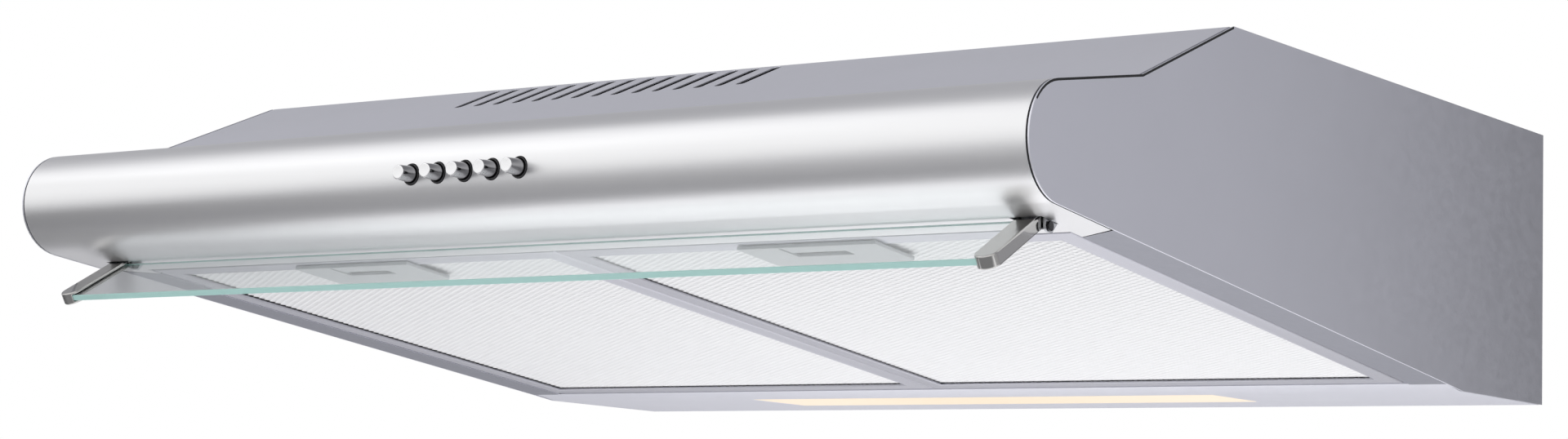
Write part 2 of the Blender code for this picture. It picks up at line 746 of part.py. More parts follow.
# ---------------------------------------------------------------- controls
def button(index, x):
    """A tapered push button with its stem, on the slide axis."""
    back = BUTTON_STAND + BUTTON_SHOULDER
    profile = [
        (0.0, 0.0),
        (BUTTON_TIP_RADIUS - 0.0005, 0.0),
        (BUTTON_TIP_RADIUS, -0.0005),
        (BUTTON_RADIUS, -BUTTON_STAND),
        (BUTTON_RADIUS, -back),
        (STEM_RADIUS, -back),
        (STEM_RADIUS, -back - STEM_LENGTH),
        (0.0, -back - STEM_LENGTH),
    ]
    place = Frame((x, -BODY_DEPTH - BUTTON_STAND, BUTTON_HEIGHT), (pi / 2, 0.0, 0.0))
    return turned(f"button_{index}", profile, chrome(), place, steps=20)


def switch_collar_frame():
    """The dark frame behind the nose, with a collar through it round each button."""
    half = button_xs()[-1] + COLLAR_FRAME_SIDE
    front = -BODY_DEPTH + COLLAR_FRAME_BACK
    low, high = BUTTON_HEIGHT - COLLAR_FRAME_HALF, BUTTON_HEIGHT + COLLAR_FRAME_HALF
    plate = ((-half, front, low), (half, front + COLLAR_FRAME_THICK, high))
    made = add("switch_collar_frame", boxes("switch_collar_frame", plate), dark_plastic())
    for side in (-1, 1):
        inner, outer = sorted((side * (half - COLLAR_FRAME_THICK), side * half))
        start, end = front + COLLAR_FRAME_THICK / 2, front + COLLAR_FRAME_DEPTH
        wall = boxes("collar_frame_wall", ((inner, start, low), (outer, end, high)))
        unite(made, cutter(f"collar_frame_wall_{side}", wall))
    length = COLLAR_STAND + COLLAR_FRAME_BACK + COLLAR_FRAME_THICK / 2
    spans = [((x, -BODY_DEPTH - COLLAR_STAND, BUTTON_HEIGHT), length) for x in button_xs()]
    unite(made, cutter("collars", rods("collars", "Y", COLLAR_OUTER, *spans)))
    spans = [((x, -BODY_DEPTH - 0.004, BUTTON_HEIGHT), 0.016) for x in button_xs()]
    cut(made, cutter("collar_bores", rods("collar_bores", "Y", COLLAR_INNER, *spans)))
    return made


def switch_bank():
    """The row of five linked switches that the stems press, between the frame's walls."""
    half = button_xs()[-1] + COLLAR_FRAME_SIDE - COLLAR_FRAME_THICK - GAP
    front = -BODY_DEPTH + BUTTON_SHOULDER + STEM_LENGTH + BUTTON_TRAVEL + GAP
    low = (-half, front, BUTTON_HEIGHT - BANK_HALF_HEIGHT)
    body = (low, (half, front + BANK_DEPTH, BUTTON_HEIGHT + BANK_HALF_HEIGHT))
    return add("switch_bank", boxes("switch_bank", body), pale_plastic())


def switch_hanger():
    """The folded strip that hangs the switch bank from the shelf."""
    bottom = BUTTON_HEIGHT + BANK_HALF_HEIGHT + GAP
    web = NOSE_DEPTH + NOSE_RADIUS * sin(SHELF_TILT) - HANGER_BACK
    profile = [(-web - HANGER_FOOT, shelf(web + HANGER_FOOT) - INSET), (-web, shelf(web) - INSET)]
    profile += [(-web, bottom), (-web - HANGER_FOOT, bottom)]
    return sheet("switch_hanger", profile, 0.030, inner_steel())


# ---------------------------------------------------------------- visor


def arm_outline(side):
    """An arm seen from above in its own frame: straight sides and a round front end."""
    radius = ARM_WIDTH / 2
    front = arc((side * VISOR_ARM_X, -ARM_LENGTH + radius), radius, pi, 2 * pi, 12)
    return [(side * VISOR_ARM_X + radius, 0.0), (side * VISOR_ARM_X - radius, 0.0)] + front


def visor_arm(name, side):
    """An arm: a flat bar with a boss round the pivot, bored for the pin and slotted for the glass."""
    low = ARM_RISE - ARM_THICK / 2
    bar = prism(name, "XY", [arm_outline(side)], low, ARM_RISE + ARM_THICK / 2)
    arm = add(name, bar, chrome(), VISOR_FRAME)
    start = (side * VISOR_ARM_X - ARM_WIDTH / 2, 0.0, 0.0)
    unite(arm, cutter(name + "_boss", rods(name, "X", ARM_BOSS_RADIUS, (start, ARM_WIDTH)), VISOR_FRAME))
    through = (start[0] - 0.002, 0.0, 0.0)
    bore = rods(name, "X", VISOR_PIN_RADIUS + GAP, (through, ARM_WIDTH + 0.004), sides=16)
    cut(arm, cutter(name + "_bore", bore, VISOR_FRAME))
    inner = side * (VISOR_ARM_IN - 0.002)
    depth = side * (VISOR_ARM_IN + GLASS_GRIP + GAP)
    half = GLASS_THICK / 2 + GAP
    slot_low = (min(inner, depth), -GLASS_FRONT - GAP, ARM_RISE - half)
    slot_high = (max(inner, depth), -GLASS_REAR + GAP, ARM_RISE + half)
    cut(arm, cutter(name + "_slot", boxes(name, (slot_low, slot_high)), VISOR_FRAME))
    return arm


def visor_glass():
    """The clear strip between the arms, with its long edges ground."""
    half = VISOR_ARM_IN + GLASS_GRIP
    low = (-half, -GLASS_FRONT, ARM_RISE - GLASS_THICK / 2)
    high = (half, -GLASS_REAR, ARM_RISE + GLASS_THICK / 2)
    glass = add("visor_glass", boxes("visor_glass", (low, high)), clear_glass(), VISOR_FRAME)
    edge = glass.modifiers.new("ground_edge", "BEVEL")
    edge.width = 0.0003
    edge.segments = 1
    return glass


def visor_bracket(name, side):
    """Two ears through the flange's slot, joined above it and welded to the front rail."""
    wide = ARM_WIDTH / 2 + 2 * GAP
    top = VISOR_PIN_HEIGHT + BRACKET_RISE
    middle = side * VISOR_ARM_X
    ear = arc((-VISOR_PIN_DEPTH, VISOR_PIN_HEIGHT), EAR_RADIUS, pi, 3 * pi / 2, 8)
    rear = -SLOT_REAR - 2 * GAP
    ear += [(-SLOT_REAR - 0.0040, VISOR_PIN_HEIGHT - EAR_RADIUS), (rear, VISOR_PIN_HEIGHT + 0.0010)]
    ear += [(rear, top), (-VISOR_PIN_DEPTH - EAR_RADIUS, top)]
    block = prism(name, "YZ", [ear], middle - wide - EAR_THICK, middle + wide + EAR_THICK)
    made = add(name, block, inner_steel())
    hollow = ((middle - wide, -SLOT_FRONT, VISOR_PIN_HEIGHT - 0.01), (middle + wide, -0.45, top - EAR_THICK))
    cut(made, cutter(name + "_gap", boxes(name, hollow)))
    tail_low = (middle - wide, -SLOT_REAR - 0.004, top - EAR_THICK)
    tail_high = (middle + wide, -RAIL_DEPTH - SHEET - GAP, top)
    unite(made, cutter(name + "_tail", boxes(name, (tail_low, tail_high))))
    start = (middle - wide - 0.003, -VISOR_PIN_DEPTH, VISOR_PIN_HEIGHT)
    bore = rods(name, "X", VISOR_PIN_RADIUS + GAP, (start, 2 * wide + 0.006), sides=16)
    cut(made, cutter(name + "_bore", bore))
    return made


def visor_pin(name, side):
    """The pivot pin, with a low head at each end."""
    reach = ARM_WIDTH / 2 + 2 * GAP + EAR_THICK + GAP
    head = VISOR_PIN_RADIUS + PIN_HEAD_WIDTH
    end = reach + PIN_HEAD_HEIGHT
    profile = [
        (0.0, end),
        (head, end),
        (head, reach),
        (VISOR_PIN_RADIUS, reach),
        (VISOR_PIN_RADIUS, -reach),
        (head, -reach),
        (head, -end),
        (0.0, -end),
    ]
    place = Frame((side * VISOR_ARM_X, -VISOR_PIN_DEPTH, VISOR_PIN_HEIGHT), (0.0, pi / 2, 0.0))
    return turned(name, profile, dark_plastic(), place, steps=16)


# ---------------------------------------------------------------- grease filters


def filter_span(side):
    """Left and right edge of a filter."""
    if side > 0:
        return FILTER_SPLIT_X + FILTER_GAP / 2, FILTER_OUTER_X
    return -FILTER_OUTER_X, FILTER_SPLIT_X - FILTER_GAP / 2


def filter_frame(name, side):
    """A channel frame, open inwards, with two hooks over the lamp panel's lip."""
    left, right = filter_span(side)
    low_z, high_z = FILTER_LOW, FILTER_LOW + FILTER_THICK
    block = ((left, FILTER_Y_FRONT, low_z), (right, FILTER_Y_REAR, high_z))
    made = add(name, boxes(name, block), aluminium(), FILTER_FRAME)
    low = (left + SHEET, FILTER_Y_FRONT + SHEET, low_z + SHEET)
    high = (right - SHEET, FILTER_Y_REAR - SHEET, high_z - SHEET)
    cut(made, cutter(name + "_channel", boxes(name, (low, high)), FILTER_FRAME))
    low = (left + FILTER_BORDER, FILTER_Y_FRONT + FILTER_BORDER, low_z - 0.01)
    high = (right - FILTER_BORDER, FILTER_Y_REAR - FILTER_BORDER, high_z + 0.01)
    cut(made, cutter(name + "_window", boxes(name, (low, high)), FILTER_FRAME))
    middle = side * LATCH_OFFSET_X
    neck_low = (middle - LATCH_NECK_WIDTH / 2 - GAP, FILTER_Y_FRONT + 0.0026, low_z - 0.002)
    neck_high = (middle + LATCH_NECK_WIDTH / 2 + GAP, FILTER_Y_FRONT + LATCH_SPACE, low_z + 0.002)
    mouth_low = (middle - TONGUE_WIDTH / 2 - GAP, FILTER_Y_FRONT - 0.002, low_z + TONGUE_LOW - GAP)
    mouth_high = (middle + TONGUE_WIDTH / 2 + GAP, FILTER_Y_FRONT + 0.002, low_z + TONGUE_HIGH + GAP)
    slots = boxes(name, (neck_low, neck_high), (mouth_low, mouth_high))
    cut(made, cutter(name + "_latch_slots", slots, FILTER_FRAME))
    hooks = []
    for x in (left + (right - left) * 0.25, left + (right - left) * 0.75):
        low = (x - HOOK_WIDTH / 2, FILTER_Y_REAR - SHEET / 2, HOOK_LOW)
        hooks.append((low, (x + HOOK_WIDTH / 2, HOOK_REACH, HOOK_LOW + HOOK_THICK)))
    unite(made, cutter(name + "_hooks", boxes(name, *hooks), FILTER_FRAME))
    return made


def filter_mesh(name, side):
    """The expanded-metal face that shows under the hood, here a plain sheet."""
    left, right = filter_span(side)
    low_z = FILTER_LOW + SHEET + GAP
    low = (left + SHEET + GAP, FILTER_Y_FRONT + LATCH_SPACE, low_z)
    high = (right - SHEET - GAP, FILTER_Y_REAR - SHEET - GAP, low_z + MESH_THICK)
    return add(name, boxes(name, (low, high)), aluminium(), FILTER_FRAME)


def filter_core(name, side):
    """The pleated mesh layer above the face."""
    left, right = filter_span(side)
    left += SHEET + GAP
    right -= SHEET + GAP
    low_z = FILTER_LOW + SHEET + GAP + MESH_THICK + GAP
    high_z = FILTER_LOW + FILTER_THICK - SHEET - GAP - PLEAT_THICK
    folds = 2 * round((right - left) / PLEAT_PITCH)
    line = []
    for i in range(folds + 1):
        line.append((left + (right - left) * i / folds, high_z if i % 2 else low_z))
    outline = line + [(x, z + PLEAT_THICK) for x, z in reversed(line)]
    pleats = prism(name, "XZ", [outline], FILTER_Y_FRONT + LATCH_SPACE, FILTER_Y_REAR - SHEET - GAP)
    return add(name, pleats, aluminium(), FILTER_FRAME)


def latch_plate(name, side):
    """The plate under a filter's front border, with chamfered rear corners and a recess for the latch."""
    middle = side * LATCH_OFFSET_X
    half = LATCH_PLATE_WIDTH / 2
    front = FILTER_Y_FRONT + LATCH_PLATE_FRONT
    rear = front + LATCH_PLATE_DEPTH
    side_end, corner = rear - LATCH_CHAMFER, half - LATCH_CHAMFER
    outline = [(middle - half, front), (middle + half, front), (middle + half, side_end)]
    outline += [(middle + corner, rear), (middle - corner, rear), (middle - half, side_end)]
    wide = LATCH_PAD_WIDTH / 2 + 2 * GAP
    near = pad_front() - 2 * GAP
    far = pad_front() + LATCH_PAD_DEPTH + LATCH_TRAVEL + 0.0020
    recess = [(middle - wide, near), (middle - wide, far), (middle + wide, far), (middle + wide, near)]
    high = FILTER_LOW - GAP
    plate = prism(name, "XY", [outline, recess], high - LATCH_PLATE_THICK, high)
    return add(name, plate, grey_plastic(), FILTER_FRAME)


def pad_front():
    """Where the latch's finger pad begins, in the filter's frame."""
    return FILTER_Y_FRONT + LATCH_PAD_FRONT


def latch_slider(name, side):
    """The finger pad in the recess, its neck through the frame and its tongue towards the flange."""
    middle = side * LATCH_OFFSET_X
    pad_high = FILTER_LOW - GAP
    near = pad_front()
    low = (middle - LATCH_PAD_WIDTH / 2, near, pad_high - LATCH_PLATE_THICK + 0.0004)
    high = (middle + LATCH_PAD_WIDTH / 2, near + LATCH_PAD_DEPTH, pad_high)
    made = add(name, boxes(name, (low, high)), grey_plastic(), FILTER_FRAME)
    neck_rear = FILTER_Y_FRONT + LATCH_SPACE - LATCH_TRAVEL - 2 * GAP
    tongue_top = FILTER_LOW + TONGUE_HIGH
    half = LATCH_NECK_WIDTH / 2
    neck = ((middle - half, near + 0.0001, pad_high - 0.0004), (middle + half, neck_rear, tongue_top))
    unite(made, cutter(name + "_neck", boxes(name, neck), FILTER_FRAME))
    half = TONGUE_WIDTH / 2
    low = (middle - half, FILTER_Y_FRONT - TONGUE_REACH, FILTER_LOW + TONGUE_LOW)
    tongue = (low, (middle + half, near + 0.0006, tongue_top - 0.0001))
    unite(made, cutter(name + "_tongue", boxes(name, tongue), FILTER_FRAME))
    return made


# ---------------------------------------------------------------- lamps


def lamp_cover():
    """The diffuser, a shallow tray that closes the lamp window and swings down on its rear edge."""
    half = LAMP_WINDOW_HALF - 2 * GAP
    front = -(LAMP_WINDOW_FRONT - LAMP_WINDOW_REAR - COVER_REAR_GAP - COVER_HINGE_INSET) + 2 * GAP
    plate = ((-half, front, -COVER_THICK / 2), (half, COVER_HINGE_INSET, COVER_THICK / 2))
    cover = add("lamp_cover", boxes("lamp_cover", plate), lit_plastic(), COVER_FRAME)
    low = (-half + COVER_WALL, front + COVER_WALL, -COVER_THICK / 2 + COVER_WALL)
    high = (half - COVER_WALL, COVER_HINGE_INSET - COVER_WALL, COVER_THICK)
    cut(cover, cutter("lamp_cover_hollow", boxes("lamp_cover_hollow", (low, high)), COVER_FRAME))
    return cover


def lamp_tray():
    """The reflector box over the lamps, open downwards, with a fold on the lamp panel."""
    front = -LAMP_WINDOW_FRONT - TRAY_FRONT_MARGIN
    rear = -LAMP_WINDOW_REAR + TRAY_REAR_MARGIN
    outer = ((-TRAY_HALF, front, SHEET + GAP), (TRAY_HALF, rear, LAMP_TRAY_HEIGHT))
    tray = add("lamp_tray", boxes("lamp_tray", outer), inner_steel())
    inner_half, roof = TRAY_HALF - SHEET, LAMP_TRAY_HEIGHT - SHEET
    inner = ((-inner_half, front + SHEET, -CUT_PAST), (inner_half, rear - SHEET, roof))
    cut(tray, cutter("lamp_tray_hollow", boxes("lamp_tray_hollow", inner)))
    return tray


def lamp_bulb(name, side):
    """A candle-shaped lamp on its side, cap outwards."""
    profile = [(0.0, CAP_LENGTH), (CAP_RADIUS, CAP_LENGTH), (CAP_RADIUS, 0.0)]
    profile.append((BULB_NECK_RADIUS, -BULB_NECK_LENGTH))
    for i in range(1, 9):
        share = i / 9
        swell = sin(pi * share ** 0.75)
        radius = BULB_NECK_RADIUS * (1 - share) + (BULB_RADIUS - BULB_NECK_RADIUS / 2) * swell
        profile.append((radius, -BULB_NECK_LENGTH - (BULB_LENGTH - BULB_NECK_LENGTH) * share))
    profile.append((0.0, -BULB_LENGTH))
    place = Frame((side * (LAMP_BASE_X - CAP_LENGTH - 0.002), LAMP_Y, LAMP_Z), (0.0, side * pi / 2, 0.0))
    return turned(name, profile, pale_plastic(), place, steps=16)


def lamp_holder(name, side):
    """The lamp socket: a cup on the tray's end wall."""
    bore = CAP_RADIUS + GAP
    floor = -HOLDER_BASE - 5 * GAP
    profile = [
        (0.0, 0.0),
        (HOLDER_RADIUS, 0.0),
        (HOLDER_RADIUS, -HOLDER_LENGTH * 0.47),
        (HOLDER_MOUTH_RADIUS, -HOLDER_LENGTH * 0.63),
        (HOLDER_MOUTH_RADIUS, -HOLDER_LENGTH),
        (bore, -HOLDER_LENGTH),
        (bore, floor),
        (0.0, floor),
    ]
    place = Frame((side * (LAMP_BASE_X + HOLDER_BASE), LAMP_Y, LAMP_Z), (0.0, side * pi / 2, 0.0))
    return turned(name, profile, pale_plastic(), place, steps=20)


# ---------------------------------------------------------------- blower
def scroll_point(angle, margin):
    """A point on the scroll wall, whose radius grows from the tongue to the outlet."""
    share = (angle + radians(120)) / radians(300)
    radius = SCROLL_START + (SCROLL_END - SCROLL_START) * share + margin
    return BLOWER_X + radius * cos(angle), BLOWER_Y + radius * sin(angle)


def blower_housing():
    """The moulded scroll and outlet chamber, open at the top against the top panel."""
    top = BODY_HEIGHT - INSET - 0.0002
    inner = [scroll_point(radians(a), 0.0) for a in range(-120, 181, 15)]
    inner += [(CHAMBER_LEFT, -0.300), (CHAMBER_LEFT, CHAMBER_FRONT), (CHAMBER_RIGHT, CHAMBER_FRONT)]
    inner.append((CHAMBER_RIGHT, -0.286))
    outer = [scroll_point(radians(a), BLOWER_WALL) for a in range(-90, 181, 15)]
    outer += [(CHAMBER_LEFT - BLOWER_WALL, -0.300), (CHAMBER_LEFT - BLOWER_WALL, CHAMBER_FRONT - BLOWER_WALL)]
    right = CHAMBER_RIGHT + BLOWER_WALL
    outer += [(right, CHAMBER_FRONT - BLOWER_WALL), (right, -0.286)]
    shell = add("blower_housing", prism("blower_housing", "XY", [outer], BLOWER_FLOOR, top), dark_plastic())
    hollow = prism("blower_hollow", "XY", [inner], BLOWER_FLOOR + BLOWER_WALL, BODY_HEIGHT + 0.02)
    cut(shell, cutter("blower_hollow", hollow))
    start = (BLOWER_X, BLOWER_Y, BLOWER_FLOOR - CUT_PAST)
    inlet = rods("blower_inlet", "Z", INLET_RADIUS, (start, 2 * CUT_PAST), sides=32)
    cut(shell, cutter("blower_inlet", inlet))
    drop = (SHEET + 2 * SHUTTER_GAP + SHEET + SHUTTER_GAP) / cos(SLOPE_TILT)
    near = TOP_DEPTH - 0.004
    far = CREASE_DEPTH + CUT_PAST
    wedge = [(-near, BODY_HEIGHT + CUT_PAST), (-near, slope(near) - drop)]
    wedge += [(-far, slope(far) - drop), (-far, BODY_HEIGHT + CUT_PAST)]
    cut(shell, cutter("slope_relief", prism("slope_relief", "YZ", [wedge], -0.2, 0.2)))
    return shell


def motor_bracket():
    """Three arms from under the inlet that carry the motor."""
    outline = []
    for k in range(3):
        middle = radians(90 + 120 * k)
        for radius, spread in ((0.030, 0.30), (0.068, 0.095), (0.068, -0.095), (0.030, -0.30)):
            angle = middle - spread
            outline.append((BLOWER_X + radius * cos(angle), BLOWER_Y + radius * sin(angle)))
    high = BLOWER_FLOOR - GAP
    plate = prism("motor_bracket", "XY", [list(reversed(outline))], high - BRACKET_THICK, high)
    return add("motor_bracket", plate, inner_steel())


def motor():
    """The motor can, standing on the bracket inside the impeller."""
    low = BLOWER_FLOOR
    bore = SHAFT_RADIUS + GAP
    profile = [
        (0.0, MOTOR_TOP - SHAFT_SOCKET),
        (bore, MOTOR_TOP - SHAFT_SOCKET),
        (bore, MOTOR_TOP),
        (HUB_RADIUS, MOTOR_TOP),
        (HUB_RADIUS, MOTOR_TOP - 0.004),
        (MOTOR_RADIUS - 0.003, MOTOR_TOP - 0.004),
        (MOTOR_RADIUS, MOTOR_TOP - 0.007),
        (MOTOR_RADIUS, low + 0.006),
        (MOTOR_RADIUS - 0.006, low),
        (0.0, low),
    ]
    return turned("motor", profile, inner_steel(), ROTOR_FRAME, steps=28)


def impeller():
    """A squirrel-cage wheel: a hub disc on top, a ring below and blades between."""
    bore = SHAFT_RADIUS + GAP
    profile = [
        (bore, WHEEL_HIGH + HUB_HEIGHT),
        (HUB_RADIUS, WHEEL_HIGH + HUB_HEIGHT),
        (HUB_RADIUS, WHEEL_HIGH),
        (WHEEL_RADIUS, WHEEL_HIGH),
        (WHEEL_RADIUS, WHEEL_HIGH - WHEEL_PLATE),
        (HUB_RADIUS, WHEEL_HIGH - WHEEL_PLATE),
        (HUB_RADIUS, WHEEL_HIGH - 0.0045),
        (bore, WHEEL_HIGH - 0.0045),
        (bore, WHEEL_HIGH + HUB_HEIGHT),
    ]
    wheel = turned("impeller", profile, dark_plastic(), ROTOR_FRAME, steps=32)
    blades = bmesh.new()
    height = WHEEL_HIGH - WHEEL_LOW - WHEEL_PLATE
    chord = WHEEL_RADIUS - WHEEL_INNER - WHEEL_PLATE
    for i in range(BLADE_COUNT):
        place = (
            Matrix.Rotation(2 * pi * i / BLADE_COUNT, 4, "Z")
            @ Matrix.Translation(((WHEEL_RADIUS + WHEEL_INNER) / 2, 0.0, (WHEEL_HIGH + WHEEL_LOW) / 2))
            @ Matrix.Rotation(BLADE_TURN, 4, "Z")
            @ Matrix.Diagonal((chord, BLADE_THICK, height, 1.0))
        )
        bmesh.ops.create_cube(blades, size=1.0, matrix=place)
    unite(wheel, cutter("blades", to_mesh(blades, "blades"), ROTOR_FRAME))
    rim = ring_profile(WHEEL_INNER, WHEEL_RADIUS, WHEEL_LOW, WHEEL_LOW + WHEEL_PLATE)
    ring = turned("wheel_ring", rim, None, ROTOR_FRAME, steps=32)
    bpy.data.collections[PARTS].objects.unlink(ring)
    bpy.data.collections[CUTTERS].objects.link(ring)
    ring.hide_render = True
    ring.display_type = "WIRE"
    unite(wheel, ring)
    return wheel


def rotor_shaft():
    start = (0.0, 0.0, MOTOR_TOP - SHAFT_SOCKET + GAP)
    length = WHEEL_HIGH + HUB_HEIGHT + NUT_HEIGHT + 5 * GAP - start[2]
    shaft = rods("rotor_shaft", "Z", SHAFT_RADIUS, (start, length), sides=16)
    return add("rotor_shaft", shaft, inner_steel(), ROTOR_FRAME)


def impeller_nut():
    """The hexagon nut that holds the wheel on its shaft."""
    low = WHEEL_HIGH + HUB_HEIGHT + GAP
    nut = rods("impeller_nut", "Z", NUT_RADIUS, ((0.0, 0.0, low), NUT_HEIGHT), sides=6)
    made = add("impeller_nut", nut, inner_steel(), ROTOR_FRAME)
    bore = rods("nut_bore", "Z", SHAFT_RADIUS + GAP, ((0.0, 0.0, low - NUT_HEIGHT), 3 * NUT_HEIGHT), sides=16)
    cut(made, cutter("nut_bore", bore, ROTOR_FRAME))
    return made


# ---------------------------------------------------------------- outlet, vents and wiring
def outlet_sleeve():
    """A sleeve flanged under the top panel, with a ledge that the damper flaps rest on."""
    ledge = -DAMPER_DROP - DAMPER_THICK
    seat = -SHEET - GAP
    profile = [
        (OUTLET_RADIUS, SLEEVE_RISE),
        (SLEEVE_RADIUS, SLEEVE_RISE),
        (SLEEVE_RADIUS, seat),
        (SLEEVE_RADIUS + SLEEVE_FLANGE, seat),
        (SLEEVE_RADIUS + SLEEVE_FLANGE, seat - SLEEVE_WALL),
        (SLEEVE_RADIUS, seat - SLEEVE_WALL),
        (SLEEVE_RADIUS, -SLEEVE_DROP),
        (OUTLET_RADIUS - SLEEVE_LEDGE, -SLEEVE_DROP),
        (OUTLET_RADIUS - SLEEVE_LEDGE, ledge),
        (OUTLET_RADIUS, ledge),
        (OUTLET_RADIUS, SLEEVE_RISE),
    ]
    sleeve = turned("outlet_sleeve", profile, dark_plastic(), OUTLET_FRAME, steps=40)
    reach = SLEEVE_RADIUS + CUT_PAST
    bore = rods("damper_bore", "X", DAMPER_BORE, ((-reach, 0.0, 0.0), 2 * reach), sides=12)
    cut(sleeve, cutter("damper_bore", bore, DAMPER_FRAME))
    return sleeve


def damper_pin():
    start = (-SLEEVE_RADIUS, 0.0, 0.0)
    rod = rods("damper_pin", "X", DAMPER_PIN_RADIUS, (start, 2 * SLEEVE_RADIUS), sides=12)
    return add("damper_pin", rod, inner_steel(), DAMPER_FRAME)


def damper_flap(name, side):
    """Half of the non-return damper, with two knuckles round the pin."""
    radius = OUTLET_RADIUS - 0.0010
    start = asin(0.0034 / radius)
    edge = [(x, side * y) for x, y in arc((0.0, 0.0), radius, start, pi - start, 20)]
    low = -DAMPER_SEAT - 0.0004
    plate = prism(name, "XY", [edge], low, low + DAMPER_THICK)
    made = add(name, plate, grey_plastic(), DAMPER_FRAME)
    starts = [x + KNUCKLE_SHIFT * side for x in KNUCKLE_XS]
    knuckles = [((x, 0.0, 0.0), KNUCKLE_WIDTH) for x in starts]
    rings = rods(name, "X", KNUCKLE_RADIUS, *knuckles, sides=16)
    unite(made, cutter(name + "_knuckles", rings, DAMPER_FRAME))
    inner, outer = sorted((side * 0.0010, side * 0.0060))
    webs = []
    for x in starts:
        webs.append(((x, inner, low + 0.0001), (x + KNUCKLE_WIDTH, outer, low + DAMPER_THICK - 0.0001)))
    unite(made, cutter(name + "_webs", boxes(name, *webs), DAMPER_FRAME))
    bore = rods(name, "X", DAMPER_BORE, ((-radius, 0.0, 0.0), 2 * radius), sides=12)
    cut(made, cutter(name + "_bore", bore, DAMPER_FRAME))
    return made


def vent_shutter():
    """A slotted slide under the vents, with a finger tab beside the blower housing."""
    reach = vent_xs()[-1] - VENT_CENTRE_X + VENT_WIDTH / 2 + 0.006
    high = slope_y(TOP_DEPTH) - 0.0015
    low = slope_y(VENT_LOW_DEPTH + 0.0022)
    left = min(VENT_CENTRE_X - reach, CHAMBER_LEFT - BLOWER_WALL - SHUTTER_TRAVEL) - SHUTTER_TAB
    top = -SHEET - SHUTTER_GAP
    plate = ((left, low, top - SHEET), (VENT_CENTRE_X + reach, high, top))
    shutter = add("vent_shutter", boxes("vent_shutter", plate), inner_steel(), SLOPE_FRAME)
    middle = (low + high) / 2
    tab = ((left, middle - 0.008, top - 0.016), (left + SHEET, middle + 0.008, top - SHEET / 2))
    unite(shutter, cutter("shutter_tab", boxes("shutter_tab", tab), SLOPE_FRAME))
    half = VENT_WIDTH / 2 + GAP
    slots = [((x - half, low + 0.002, top - 0.004), (x + half, high - 0.002, top + 0.004)) for x in vent_xs()]
    cut(shutter, cutter("shutter_slots", boxes("shutter_slots", *slots), SLOPE_FRAME))
    return shutter


def terminal_box():
    wide, deep = TERMINAL_HALF
    low = (GLAND_X - wide, GLAND_Y - deep, BODY_HEIGHT - INSET - TERMINAL_DROP)
    high = (GLAND_X + wide, GLAND_Y + deep, BODY_HEIGHT - INSET - GLAND_DROP)
    made = add("terminal_box", boxes("terminal_box", (low, high)), pale_plastic())
    edge = made.modifiers.new("soft_edge", "BEVEL")
    edge.width = 0.0015
    edge.segments = 2
    return made


def cable_gland():
    """The bush in the top that a mains lead comes in by."""
    seat = -INSET
    outer = GLAND_RADIUS + GLAND_FLANGE
    profile = [
        (GLAND_BORE, GLAND_RISE),
        (GLAND_RADIUS, GLAND_RISE),
        (GLAND_RADIUS, seat),
        (outer, seat),
        (outer, seat - SLEEVE_WALL),
        (GLAND_RADIUS, seat - SLEEVE_WALL),
        (GLAND_RADIUS, -GLAND_DROP),
        (GLAND_BORE, -GLAND_DROP),
        (GLAND_BORE, GLAND_RISE),
    ]
    place = Frame((GLAND_X, GLAND_Y, BODY_HEIGHT), (0.0, 0.0, 0.0))
    return turned("cable_gland", profile, dark_plastic(), place, steps=20)


def run_capacitor():
    """The motor's capacitor, clipped under the top."""
    radius, chamfer = CAPACITOR_RADIUS, 0.0015
    profile = [(0.0, 0.0), (radius - chamfer, 0.0), (radius, -chamfer)]
    profile += [(radius, -CAPACITOR_LENGTH), (0.0, -CAPACITOR_LENGTH)]
    place = Frame((*CAPACITOR_PLACE, BODY_HEIGHT - INSET - radius - 2 * GAP), (0.0, pi / 2, 0.0))
    return turned("run_capacitor", profile, pale_plastic(), place, steps=20)


# ---------------------------------------------------------------- assembly
def housing():
    for name, side in (("left", -1), ("right", 1)):
        side_panel(f"side_panel_{name}", side)
    front_panel()
    top_panel()
    back_panel()
    lamp_panel()
    front_rail()


def controls():
    for index, x in enumerate(button_xs(), 1):
        button(index, x)
    switch_collar_frame()
    switch_bank()
    switch_hanger()


def visor():
    visor_glass()
    for name, side in (("left", -1), ("right", 1)):
        visor_arm(f"visor_arm_{name}", side)
        visor_bracket(f"visor_bracket_{name}", side)
        visor_pin(f"visor_pin_{name}", side)


def filters():
    for name, side in (("left", -1), ("right", 1)):
        filter_frame(f"filter_frame_{name}", side)
        filter_mesh(f"filter_mesh_{name}", side)
        filter_core(f"filter_core_{name}", side)
        latch_plate(f"latch_plate_{name}", side)
        latch_slider(f"latch_slider_{name}", side)


def lamps():
    lamp_cover()
    lamp_tray()
    for name, side in (("left", -1), ("right", 1)):
        lamp_bulb(f"lamp_bulb_{name}", side)
        lamp_holder(f"lamp_holder_{name}", side)


def blower():
    blower_housing()
    motor_bracket()
    motor()
    impeller()
    rotor_shaft()
    impeller_nut()


def outlet_and_wiring():
    outlet_sleeve()
    damper_pin()
    damper_flap("damper_flap_rear", 1)
    damper_flap("damper_flap_front", -1)
    vent_shutter()
    terminal_box()
    cable_gland()
    run_capacitor()


def main():
    clear_scene()
    housing()
    controls()
    visor()
    filters()
    lamps()
    blower()
    outlet_and_wiring()


main()
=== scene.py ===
"""Looks of the under cabinet range hood: sheet metal, expanded filter mesh, glass visor, lamps and blower.

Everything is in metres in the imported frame: +X to the right, +Y into the wall, +Z up, and the origin is
the middle of the wall face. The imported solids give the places; this script adds bends, edges, mesh and
finishes.
"""

import json
import logging
from dataclasses import dataclass, field
from enum import Enum
from math import copysign, cos, pi, radians, sin, tan

import bmesh
import bpy
from mathutils import Matrix, Vector

